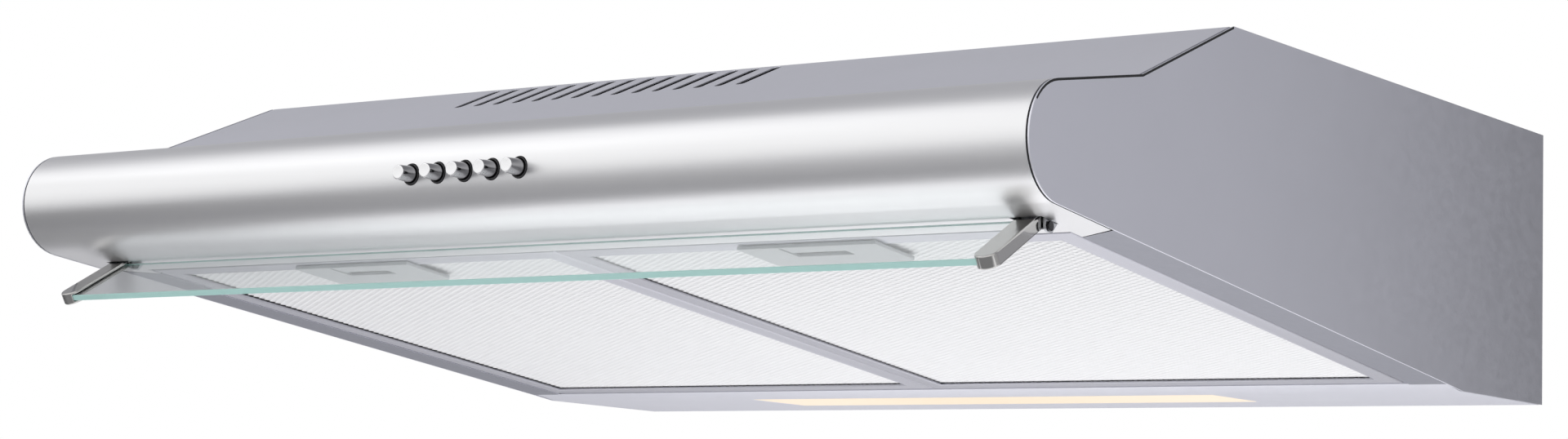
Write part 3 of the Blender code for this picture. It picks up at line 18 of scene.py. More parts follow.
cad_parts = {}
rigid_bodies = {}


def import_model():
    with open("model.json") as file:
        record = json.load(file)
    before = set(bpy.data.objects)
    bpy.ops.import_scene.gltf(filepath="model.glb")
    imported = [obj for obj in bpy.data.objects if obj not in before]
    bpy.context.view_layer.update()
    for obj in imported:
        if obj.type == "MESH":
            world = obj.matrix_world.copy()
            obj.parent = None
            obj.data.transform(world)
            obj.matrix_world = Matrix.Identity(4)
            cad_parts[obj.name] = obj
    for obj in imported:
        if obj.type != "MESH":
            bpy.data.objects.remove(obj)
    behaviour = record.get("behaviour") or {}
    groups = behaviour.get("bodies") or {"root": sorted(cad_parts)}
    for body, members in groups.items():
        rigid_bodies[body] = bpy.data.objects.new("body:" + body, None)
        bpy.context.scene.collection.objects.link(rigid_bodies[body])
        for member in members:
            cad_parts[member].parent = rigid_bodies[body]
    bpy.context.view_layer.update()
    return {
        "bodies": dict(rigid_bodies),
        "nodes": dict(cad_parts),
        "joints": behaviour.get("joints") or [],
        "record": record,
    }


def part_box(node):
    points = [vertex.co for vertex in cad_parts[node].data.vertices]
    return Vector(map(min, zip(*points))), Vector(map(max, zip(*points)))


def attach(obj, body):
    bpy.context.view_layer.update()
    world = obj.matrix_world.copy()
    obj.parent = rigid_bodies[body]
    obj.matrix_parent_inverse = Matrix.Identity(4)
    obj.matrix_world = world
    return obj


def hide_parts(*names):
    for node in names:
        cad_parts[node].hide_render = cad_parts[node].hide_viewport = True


LOG = logging.getLogger("range_hood")

Colour = tuple[float, float, float]
Point = tuple[float, float]
Corner = tuple[float, float, float]
Tree = bpy.types.NodeTree
Node = bpy.types.Node
Socket = bpy.types.NodeSocket
Piece = bpy.types.Object


class Side(Enum):
    """Left or right of the hood, seen from the room."""

    LEFT = -1
    RIGHT = 1

    @property
    def word(self) -> str:
        """The word that node names use."""
        return self.name.lower()


class Plane(Enum):
    """The plane that a flat outline (u, v) lies in; its thickness runs along the third axis."""

    XY = Matrix.Identity(4)
    XZ = Matrix(((1, 0, 0, 0), (0, 0, -1, 0), (0, 1, 0, 0), (0, 0, 0, 1)))


# ---------------------------------------------------------------- shader groups
def new_group(name: str, inputs: dict[str, float], outputs: tuple[str, ...]) -> Tree:
    """Makes a shader node group with float inputs and outputs.

    Args:
        name: Name of the group.
        inputs: Input sockets and their default values.
        outputs: Output sockets.

    Returns:
        The new group, holding its input and output nodes.
    """
    tree = bpy.data.node_groups.new(name, "ShaderNodeTree")
    for socket, value in inputs.items():
        made = tree.interface.new_socket(socket, in_out="INPUT", socket_type="NodeSocketFloat")
        made.default_value = value
    for socket in outputs:
        tree.interface.new_socket(socket, in_out="OUTPUT", socket_type="NodeSocketFloat")
    tree.nodes.new("NodeGroupInput").name = "in"
    tree.nodes.new("NodeGroupOutput").name = "out"
    return tree


def stretched_noise(tree: Tree, scale_from: str, stretch: Corner, detail: float) -> Node:
    """Adds noise on object coordinates, stretched by a factor on each axis.

    Args:
        tree: The group to add to.
        scale_from: The group input that gives the noise scale.
        stretch: Factors on the coordinates before the noise.
        detail: Octaves of the noise.

    Returns:
        The noise node.
    """
    place = tree.nodes.new("ShaderNodeTexCoord")
    mapping = tree.nodes.new("ShaderNodeMapping")
    mapping.inputs["Scale"].default_value = stretch
    noise = tree.nodes.new("ShaderNodeTexNoise")
    noise.inputs["Detail"].default_value = detail
    noise.inputs["Roughness"].default_value = 0.6
    tree.links.new(place.outputs["Object"], mapping.inputs["Vector"])
    tree.links.new(mapping.outputs["Vector"], noise.inputs["Vector"])
    tree.links.new(tree.nodes["in"].outputs[scale_from], noise.inputs["Scale"])
    return noise


def grain_group(name: str, stretch: Corner, scales: Point, details: Point) -> Tree:
    """A grain: fine streaks or pebbles, with broad cloudy patches over them.

    Args:
        name: Name of the group.
        stretch: Coordinate factors; a small factor makes the streaks long on that axis.
        scales: Frequency of the streaks and of the patches.
        details: Octaves of the streaks and of the patches.

    Returns:
        The group, with outputs Streak and Cloud from 0 to 1.
    """
    tree = new_group(name, {"Scale": scales[0], "Cloud Scale": scales[1]}, ("Streak", "Cloud"))
    streak = stretched_noise(tree, "Scale", stretch, details[0])
    cloud = stretched_noise(tree, "Cloud Scale", (1.0, 1.0, 1.0), details[1])
    tree.links.new(streak.outputs["Fac"], tree.nodes["out"].inputs["Streak"])
    tree.links.new(cloud.outputs["Fac"], tree.nodes["out"].inputs["Cloud"])
    return tree


class Grain(Enum):
    """The surface grain of a finish."""

    BRUSHED_ALONG = "brushed_along_x"
    BRUSHED_DEPTH = "brushed_along_y"
    ROLLED = "rolled_sheet"
    MOULDED = "moulded_grain"

    def group(self) -> Tree:
        """The shader group of this grain, made once."""
        found = bpy.data.node_groups.get(self.value)
        if found:
            return found
        if self is Grain.MOULDED:
            return grain_group(self.value, (1.0, 1.0, 1.0), (1400.0, 22.0), (2.0, 3.0))
        stretch = {
            Grain.BRUSHED_ALONG: (0.012, 1.0, 1.0),
            Grain.BRUSHED_DEPTH: (1.0, 0.012, 1.0),
            Grain.ROLLED: (0.35, 0.2, 0.35),
        }[self]
        return grain_group(self.value, stretch, (900.0, 9.0), (3.0, 4.0))


def blank_material(name: str) -> tuple[bpy.types.Material, Tree, Node]:
    """Makes a material.

    Args:
        name: Its name.

    Returns:
        The material, its node tree and its Principled shader.
    """
    made = bpy.data.materials.new(name)
    made.use_nodes = True
    return made, made.node_tree, made.node_tree.nodes["Principled BSDF"]


def mixed_colour(tree: Tree, mask: Socket, first: Colour, second: Colour) -> Socket:
    """Mixes two colours by a mask.

    Args:
        tree: The node tree to add to.
        mask: The mask's socket, from 0 to 1.
        first: The colour where the mask is 0.
        second: The colour where it is 1.

    Returns:
        The socket of the mixed colour.
    """
    mix = tree.nodes.new("ShaderNodeMix")
    mix.data_type = "RGBA"
    mix.inputs[6].default_value = (*first, 1.0)
    mix.inputs[7].default_value = (*second, 1.0)
    tree.links.new(mask, mix.inputs[0])
    return mix.outputs[2]


# ---------------------------------------------------------------- finishes
@dataclass(frozen=True)
class Finish:
    """A surface finish.

    Attributes:
        name: Material name.
        slot: The record's material slot that it belongs to; not used.
        light: Colour of the clean surface.
        dark: Colour of the cloudy patches.
        roughness: Mean roughness.
        spread: How far the roughness goes from one streak to the next.
        metallic: Metallic value.
        grain: The surface grain.
        scale: Frequency of the grain.
        depth: Height of the grain in metres.
        anisotropy: Stretch of the highlight.
    """

    name: str
    slot: str
    light: Colour
    dark: Colour
    roughness: float
    spread: float = 0.05
    metallic: float = 1.0
    grain: Grain = Grain.ROLLED
    scale: float = 900.0
    depth: float = 0.000002
    anisotropy: float = 0.0

    def build(self) -> bpy.types.Material:
        """Makes the material."""
        made, tree, shader = blank_material(self.name)
        shader.inputs["Metallic"].default_value = self.metallic
        shader.inputs["Anisotropic"].default_value = self.anisotropy
        grain = tree.nodes.new("ShaderNodeGroup")
        grain.node_tree = self.grain.group()
        grain.inputs["Scale"].default_value = self.scale
        self.link_colour(tree, grain, shader)
        self.link_roughness(tree, grain, shader)
        self.link_bump(tree, grain, shader)
        return made

    def link_colour(self, tree: Tree, grain: Node, shader: Node) -> None:
        """Mixes the two colours by the cloudy patches."""
        colour = mixed_colour(tree, grain.outputs["Cloud"], self.light, self.dark)
        tree.links.new(colour, shader.inputs["Base Color"])

    def link_roughness(self, tree: Tree, grain: Node, shader: Node) -> None:
        """Lets the streaks change the roughness a little."""
        spread = tree.nodes.new("ShaderNodeMapRange")
        spread.inputs["From Min"].default_value = 0.3
        spread.inputs["From Max"].default_value = 0.7
        spread.inputs["To Min"].default_value = self.roughness - self.spread / 2
        spread.inputs["To Max"].default_value = self.roughness + self.spread / 2
        tree.links.new(grain.outputs["Streak"], spread.inputs["Value"])
        tree.links.new(spread.outputs["Result"], shader.inputs["Roughness"])

    def link_bump(self, tree: Tree, grain: Node, shader: Node) -> None:
        """Adds the grain's fine relief."""
        bump = tree.nodes.new("ShaderNodeBump")
        bump.inputs["Strength"].default_value = 0.35
        bump.inputs["Distance"].default_value = self.depth
        tree.links.new(grain.outputs["Streak"], bump.inputs["Height"])
        tree.links.new(bump.outputs["Normal"], shader.inputs["Normal"])


@dataclass(frozen=True)
class GlassFinish:
    """Clear or tinted glass.

    Attributes:
        name: Material name.
        slot: The record's material slot; not used.
        tint: Colour of what passes through.
        roughness: Roughness of the surface.
        transmission: Share of light that passes through.
        index: Index of refraction.
        haze: How much of the tint is left in the hazy patches.
        haze_scale: Frequency of the fine haze.
    """

    name: str
    slot: str
    tint: Colour
    roughness: float = 0.01
    transmission: float = 1.0
    index: float = 1.48
    haze: float = 0.97
    haze_scale: float = 40.0

    def build(self) -> bpy.types.Material:
        """Makes the material."""
        made, tree, shader = blank_material(self.name)
        shader.inputs["Roughness"].default_value = self.roughness
        shader.inputs["Metallic"].default_value = 0.0
        shader.inputs["IOR"].default_value = self.index
        shader.inputs["Transmission Weight"].default_value = self.transmission
        haze = tree.nodes.new("ShaderNodeGroup")
        haze.node_tree = Grain.MOULDED.group()
        haze.inputs["Scale"].default_value = self.haze_scale
        hazy = tuple(value * self.haze for value in self.tint)
        colour = mixed_colour(tree, haze.outputs["Cloud"], self.tint, hazy)
        tree.links.new(colour, shader.inputs["Base Color"])
        return made


@dataclass(frozen=True)
class LitFinish:
    """The glowing diffuser over the lamps.

    Attributes:
        name: Material name.
        slot: The record's material slot; not used.
        bright: Colour over a lamp.
        dim: Colour between the lamps.
        strength: Strength of the glow.
        rib_scale: Frequency of the bright and dim bands.
        wander: How much the bands wander.
    """

    name: str
    slot: str
    bright: Colour
    dim: Colour
    strength: float
    rib_scale: float = 1.05
    wander: float = 0.4

    def build(self) -> bpy.types.Material:
        """Makes the material."""
        made, tree, shader = blank_material(self.name)
        shader.inputs["Roughness"].default_value = 0.45
        shader.inputs["Emission Strength"].default_value = self.strength
        place = tree.nodes.new("ShaderNodeTexCoord")
        ribs = tree.nodes.new("ShaderNodeTexWave")
        ribs.bands_direction = "X"
        ribs.inputs["Scale"].default_value = self.rib_scale
        ribs.inputs["Distortion"].default_value = self.wander
        tree.links.new(place.outputs["Object"], ribs.inputs["Vector"])
        colour = mixed_colour(tree, ribs.outputs["Fac"], self.dim, self.bright)
        tree.links.new(colour, shader.inputs["Base Color"])
        tree.links.new(colour, shader.inputs["Emission Color"])
        return made


AnyFinish = Finish | GlassFinish | LitFinish


STAINLESS = Finish(
    "satin_stainless", "brushed_stainless", (0.88, 0.88, 0.89), (0.85, 0.85, 0.86), 0.36, 0.04,
    grain=Grain.BRUSHED_ALONG, scale=1500.0, depth=0.0000012, anisotropy=0.25,
)
SILVER = Finish(
    "silver_sheet", "silver_panel", (0.845, 0.85, 0.915), (0.79, 0.795, 0.86), 0.40, 0.05,
    metallic=0.85, grain=Grain.ROLLED, scale=700.0, depth=0.000002,
)
# The same silver, darker, for the side panels' faces that point down: painted shade.
SHADED_RIM_SILVER = Finish(
    "silver_rim", "silver_panel", (0.33, 0.335, 0.385), (0.30, 0.305, 0.35), 0.42, 0.05,
    metallic=0.85, scale=700.0,
)
# Near black for the flange faces in the seams and a strip along them: painted shade in the gaps.
SEAM_PAINTED_SHADE = Finish(
    "seam_tape", "silver_panel", (0.012, 0.012, 0.014), (0.02, 0.02, 0.022), 0.8, 0.1, metallic=0.0
)
ZINC = Finish(
    "zinc_sheet", "zinc_steel", (0.60, 0.61, 0.63), (0.46, 0.47, 0.50), 0.42, 0.12, scale=260.0
)
MOTOR_STEEL = Finish(
    "motor_steel", "zinc_steel", (0.42, 0.43, 0.45), (0.33, 0.34, 0.36), 0.38, 0.10, scale=300.0
)
FRAME_ALUMINIUM = Finish(
    "frame_aluminium", "aluminium", (0.58, 0.58, 0.635), (0.53, 0.53, 0.585), 0.36, 0.06,
    metallic=0.75, grain=Grain.BRUSHED_DEPTH, scale=1100.0, depth=0.0000015,
)
MESH_ALUMINIUM = Finish(
    "mesh_aluminium", "aluminium", (0.99, 0.99, 0.995), (0.96, 0.96, 0.97), 0.42, 0.08,
    metallic=0.15, scale=500.0,
)
CORE_ALUMINIUM = Finish(
    "core_aluminium", "aluminium", (0.40, 0.405, 0.42), (0.32, 0.325, 0.34), 0.55, 0.10,
    metallic=0.3, scale=420.0,
)
CHROME = Finish(
    "polished_chrome", "chrome", (0.90, 0.90, 0.91), (0.86, 0.86, 0.87), 0.12, 0.03, scale=500.0
)
# The same chrome, darker, for the buttons' flanks and hidden sides: painted shade.
FLANK_CHROME_PAINTED_SHADE = Finish(
    "flank_chrome", "chrome", (0.36, 0.36, 0.37), (0.30, 0.30, 0.31), 0.10, 0.03, scale=500.0
)
ARM_CHROME = Finish(
    "dark_chrome", "chrome", (0.56, 0.555, 0.54), (0.50, 0.495, 0.48), 0.10, 0.03, scale=400.0
)
BLACK_PLASTIC = Finish(
    "black_moulding", "dark_plastic", (0.020, 0.020, 0.022), (0.035, 0.035, 0.038), 0.48, 0.12,
    metallic=0.0, grain=Grain.MOULDED, depth=0.00002,
)
# Near black zinc for the vent shutter, so that the vent slots read dark: painted shade of the hood's inside.
SHUTTER_ZINC_PAINTED_SHADE = Finish(
    "blackened_zinc", "zinc_steel", (0.030, 0.030, 0.033), (0.05, 0.05, 0.054), 0.45, 0.10, metallic=0.4
)
DARK_STEEL = Finish(
    "black_steel", "dark_steel", (0.05, 0.05, 0.055), (0.03, 0.03, 0.03), 0.22, 0.06, scale=300.0
)
GREY_PLASTIC = Finish(
    "grey_moulding", "grey_plastic", (0.50, 0.52, 0.53), (0.45, 0.47, 0.48), 0.45, 0.08,
    metallic=0.0, grain=Grain.MOULDED, depth=0.00001,
)
PALE_PLASTIC = Finish(
    "pale_moulding", "pale_plastic", (0.80, 0.79, 0.75), (0.72, 0.71, 0.66), 0.38, 0.10,
    metallic=0.0, grain=Grain.MOULDED, depth=0.00001,
)
FROSTED = Finish(
    "frosted_lamp", "lamp_glass", (0.93, 0.91, 0.86), (0.88, 0.86, 0.80), 0.30, 0.05,
    metallic=0.0, grain=Grain.MOULDED, depth=0.000004,
)
GLASS_FACE = GlassFinish("visor_clear", "visor_glass", (0.965, 0.99, 0.985))
GLASS_EDGE = GlassFinish("visor_ground_edge", "visor_glass", (0.56, 0.87, 0.82), 0.35, 0.25)
DIFFUSER = LitFinish("warm_diffuser", "lamp_diffuser", (0.95, 0.82, 0.64), (0.92, 0.77, 0.57), 0.17)


# ---------------------------------------------------------------- mesh helpers
def link(name: str, mesh: bpy.types.Mesh) -> Piece:
    """Puts a mesh in the scene as an object."""
    mesh.shade_smooth()
    made = bpy.data.objects.new(name, mesh)
    bpy.context.scene.collection.objects.link(made)
    return made


def mesh_of(bm: bmesh.types.BMesh, name: str) -> bpy.types.Mesh:
    """Turns a bmesh into a mesh and frees it."""
    mesh = bpy.data.meshes.new(name)
    bm.to_mesh(mesh)
    bm.free()
    return mesh


def settle(made: Piece, smooth: float = 34.0) -> Piece:
    """Applies an object's modifiers and shades it smooth up to an angle.

    Args:
        made: The object.
        smooth: Edges that turn by more than this many degrees stay sharp.

    Returns:
        The same object.
    """
    graph = bpy.context.evaluated_depsgraph_get()
    mesh = bpy.data.meshes.new_from_object(made.evaluated_get(graph))
    made.modifiers.clear()
    made.data = mesh
    if not mesh.has_custom_normals:
        mesh.shade_smooth()
        mesh.set_sharp_from_angle(angle=radians(smooth))
    return made


def weigh(made: Piece) -> None:
    """Adds weighted normals, so that flat faces stay flat beside rounded edges."""
    step = made.modifiers.new("weights", "WEIGHTED_NORMAL")
    step.weight = 100


def round_edges(made: Piece, width: float, segments: int = 2, angle: float = 34.0) -> None:
    """Adds a bevel on the edges that turn by more than an angle in degrees."""
    step = made.modifiers.new("edges", "BEVEL")
    step.width = width
    step.segments = segments
    step.limit_method = "ANGLE"
    step.angle_limit = radians(angle)
    step.use_clamp_overlap = True
    step.miter_outer = "MITER_ARC"


def boolean(made: Piece, other: Piece, operation: str = "DIFFERENCE") -> None:
    """Cuts or joins another object at once, and removes it."""
    step = made.modifiers.new("shape", "BOOLEAN")
    step.object = other
    step.operation = operation
    step.solver = "EXACT"
    settle(made)
    bpy.data.objects.remove(other)


def prism(name: str, plane: Plane, outline: list[Point], low: float, high: float) -> Piece:
    """A flat outline extruded across its plane.

    Args:
        name: Object name.
        plane: The plane the outline lies in.
        outline: Its points.
        low: Start of the thickness on the third axis.
        high: End of the thickness.

    Returns:
        The object.
    """
    bm = bmesh.new()
    sign = -1.0 if plane is Plane.XZ else 1.0
    ring = [bm.verts.new((u, v, sign * low)) for u, v in outline]
    face = bm.faces.new(ring)
    raised = bmesh.ops.extrude_face_region(bm, geom=[face])["geom"]
    moved = [item for item in raised if isinstance(item, bmesh.types.BMVert)]
    bmesh.ops.translate(bm, vec=(0.0, 0.0, sign * (high - low)), verts=moved)
    bmesh.ops.transform(bm, matrix=plane.value, verts=bm.verts)
    bmesh.ops.recalc_face_normals(bm, faces=bm.faces)
    return link(name, mesh_of(bm, name))


def block(name: str, low: Corner, high: Corner) -> Piece:
    """A box between two corners, for cutting or to be rounded."""
    outline = [(low[0], low[1]), (high[0], low[1]), (high[0], high[1]), (low[0], high[1])]
    return prism(name, Plane.XY, outline, low[2], high[2])


def arc(centre: Point, radius: float, first: float, last: float, steps: int) -> list[Point]:
    """Points on an arc, with its angles in radians."""
    turn = (last - first) / steps
    return [
        (centre[0] + radius * cos(first + turn * i), centre[1] + radius * sin(first + turn * i))
        for i in range(steps + 1)
    ]


def between(first: Point, last: Point, rows: int) -> list[Point]:
    """Points that divide a straight line into rows, without its last end."""
    run, rise = last[0] - first[0], last[1] - first[1]
    return [(first[0] + run * (i / rows), first[1] + rise * (i / rows)) for i in range(rows)]


def rounded(points: list[Point], radius: float, steps: int = 6) -> list[Point]:
    """An open path with each corner rounded.

    Args:
        points: The path.
        radius: Radius of the bends.
        steps: Segments in each bend.

    Returns:
        The rounded path.
    """
    path = [points[0]]
    for before, corner, after in zip(points, points[1:], points[2:]):
        back = (Vector(before) - Vector(corner)).normalized()
        ahead = (Vector(after) - Vector(corner)).normalized()
        opening = back.angle(ahead)
        reach = min(radius / tan(opening / 2), (Vector(before) - Vector(corner)).length * 0.45)
        start, end = Vector(corner) + back * reach, Vector(corner) + ahead * reach
        for i in range(steps + 1):
            share = i / steps
            bend = start.lerp(Vector(corner), share).lerp(Vector(corner).lerp(end, share), share)
            path.append((bend.x, bend.y))
    path.append(points[-1])
    return path


def folded_sheet(name: str, profile: list[Point], half: float, thick: float, columns: int) -> Piece:
    """Sheet metal drawn out along X from an open (y, z) profile, and thickened.

    Args:
        name: Object name.
        profile: The profile.
        half: Half of the width.
        thick: Sheet thickness.
        columns: Divisions along X, which keep long reflections smooth.

    Returns:
        The object, with its thickness applied.
    """
    bm = bmesh.new()
    line = [bm.verts.new((-half, y, z)) for y, z in profile]
    edges = [bm.edges.new(pair) for pair in zip(line, line[1:])]
    for _ in range(columns):
        drawn = bmesh.ops.extrude_edge_only(bm, edges=edges)["geom"]
        edges = [item for item in drawn if isinstance(item, bmesh.types.BMEdge)]
        moved = [item for item in drawn if isinstance(item, bmesh.types.BMVert)]
        bmesh.ops.translate(bm, vec=(2 * half / columns, 0.0, 0.0), verts=moved)
    made = link(name, mesh_of(bm, name))
    solid = made.modifiers.new("thickness", "SOLIDIFY")
    solid.thickness = thick
    solid.offset = -1.0
    solid.use_even_offset = True
    return settle(made)


def turned(name: str, profile: list[Point], place: Matrix, steps: int = 48) -> Piece:
    """A turned piece from (radius, height) points that run down its outer side.

    Args:
        name: Object name.
        profile: The points, from axis to axis.
        place: Where its axis, local Z, stands.
        steps: Segments round it.

    Returns:
        The object.
    """
    bm = bmesh.new()
    line = [bm.verts.new((radius, 0.0, height)) for radius, height in profile]
    for pair in zip(line, line[1:]):
        bm.edges.new(pair)
    made = link(name, mesh_of(bm, name))
    turn = made.modifiers.new("turn", "SCREW")
    turn.angle = 2 * pi
    turn.steps = steps
    turn.render_steps = steps
    turn.use_merge_vertices = True
    turn.merge_threshold = 0.00001
    settle(made)
    made.data.transform(place)
    return made


def mitred_frame(name: str, low: Point, high: Point, section: list[Point]) -> Piece:
    """A rectangular frame with mitred corners.

    Args:
        name: Object name.
        low: Its outer corner with the lowest x and y.
        high: Its opposite outer corner.
        section: The closed cross-section: (distance in from the outer edge, z).

    Returns:
        The object.
    """
    bm = bmesh.new()
    corners = (
        (low[0], low[1], 1, 1),
        (high[0], low[1], -1, 1),
        (high[0], high[1], -1, -1),
        (low[0], high[1], 1, -1),
    )
    rings = [[bm.verts.new((x + inx * d, y + iny * d, z)) for d, z in section] for x, y, inx, iny in corners]
    for k in range(4):
        this, following = rings[k], rings[(k + 1) % 4]
        for i in range(len(section)):
            j = (i + 1) % len(section)
            bm.faces.new((this[i], following[i], following[j], this[j]))
    bmesh.ops.recalc_face_normals(bm, faces=bm.faces)
    return link(name, mesh_of(bm, name))


def copy_node(node: str) -> Piece:
    """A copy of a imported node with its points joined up, ready to be rounded."""
    source = bpy.data.objects[node]
    bm = bmesh.new()
    bm.from_mesh(source.data)
    bmesh.ops.remove_doubles(bm, verts=bm.verts, dist=0.000005)
    bmesh.ops.recalc_face_normals(bm, faces=bm.faces)
    return link(node + "_piece", mesh_of(bm, node + "_piece"))


def body_of(frame: dict, node: str) -> str:
    """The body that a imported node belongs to."""
    for body, members in frame["record"]["behaviour"]["bodies"].items():
        if node in members:
            return body
    raise KeyError(node)


def dress(made: Piece, *finishes: AnyFinish) -> None:
    """Gives an object its materials, in order, and makes each one once."""
    made.data.materials.clear()
    for finish in finishes:
        made.data.materials.append(bpy.data.materials.get(finish.name) or finish.build())


def fit(frame: dict, made: Piece, node: str, *finishes: AnyFinish) -> None:
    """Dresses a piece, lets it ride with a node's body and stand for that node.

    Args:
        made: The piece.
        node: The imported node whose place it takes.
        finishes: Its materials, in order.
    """
    dress(made, *finishes)
    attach(made, body_of(frame, node))
    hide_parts(node)
    LOG.info("%s on %s", made.name, body_of(frame, node))


def soften(
    frame: dict,
    node: str,
    finish: AnyFinish,
    width: float = 0.0,
    segments: int = 2,
    angle: float = 40.0,
    smooth: float = 35.0,
) -> None:
    """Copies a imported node, softens its edges and fits the copy in its place.

    Args:
        node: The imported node.
        finish: Its finish.
        width: Width of the rounding; nothing is rounded at zero.
        segments: Segments of the rounding.
        angle: Edges that turn by more than this many degrees are rounded.
        smooth: Edges that turn by more than this many degrees stay sharp.
    """
    made = copy_node(node)
    if width:
        round_edges(made, width, segments, angle)
        weigh(made)
    fit(frame, settle(made, smooth), node, finish)


# ---------------------------------------------------------------- shared measures
@dataclass
class HoodShape:
    """The outline that the sub-assemblies share.

    Attributes:
        sheet: Sheet thickness.
        shelf_tilt: Tilt of the shelf behind the nose.
        under_tilt: Tilt of the underside.
        step_depth: Wall to the rear end of the tilted underside.
        step_height: Height of that end above the lowest face.
        flange_edge: Wall to the rear edge of the nose's flange.
        flange_tab: Wall to the rear edge of the tab at each end of that flange.
        base: Height of the lowest face.
        half: Half of the width.
        panel_half: Half of the nose's width.
        depth: Wall to the front of the nose.
        crease: Where the shelf meets the slope, as (y, z).
        nose: Centre and radius of the nose, as (y, z, radius).
    """

    frame: dict
    sheet: float = 0.0008
    shelf_tilt: float = radians(10.0)
    under_tilt: float = radians(6.7)
    step_depth: float = 0.1250
    step_height: float = 0.0027
    flange_edge: float = 0.4595
    flange_tab: float = 0.4500
    base: float = field(init=False)
    half: float = field(init=False)
    panel_half: float = field(init=False)
    depth: float = field(init=False)
    crease: Point = field(init=False)
    nose: Corner = field(init=False)

    def __post_init__(self) -> None:
        """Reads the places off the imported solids."""
        low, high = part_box("side_panel_right")
        self.base, self.half, self.depth = low.z, high.x, -low.y
        self.panel_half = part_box("front_panel")[1].x
        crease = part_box("front_panel")[1]
        self.crease = (crease.y, crease.z)
        bend = sum(1 / cos(tilt) - tan(tilt) for tilt in (self.under_tilt, self.shelf_tilt))
        radius = (self.shelf(self.depth) - self.under(self.depth)) / bend
        middle = self.depth - radius
        self.nose = (-middle, self.under(middle) + radius / cos(self.under_tilt), radius)
        LOG.info("nose radius %.1f mm", radius * 1000)

    def under(self, depth: float) -> float:
        """Height of the tilted underside at a distance from the wall."""
        return self.base + self.step_height + (depth - self.step_depth) * tan(self.under_tilt)

    def shelf(self, depth: float) -> float:
        """Height of the shelf at a distance from the wall."""
        return self.crease[1] - (depth + self.crease[0]) * tan(self.shelf_tilt)

    def nose_arc(self, steps: int) -> list[Point]:
        """Points up the nose from its tangent with the underside to that with the shelf."""
        y, z, radius = self.nose
        return arc((y, z), radius, -pi / 2 - self.under_tilt, -3 * pi / 2 + self.shelf_tilt, steps)


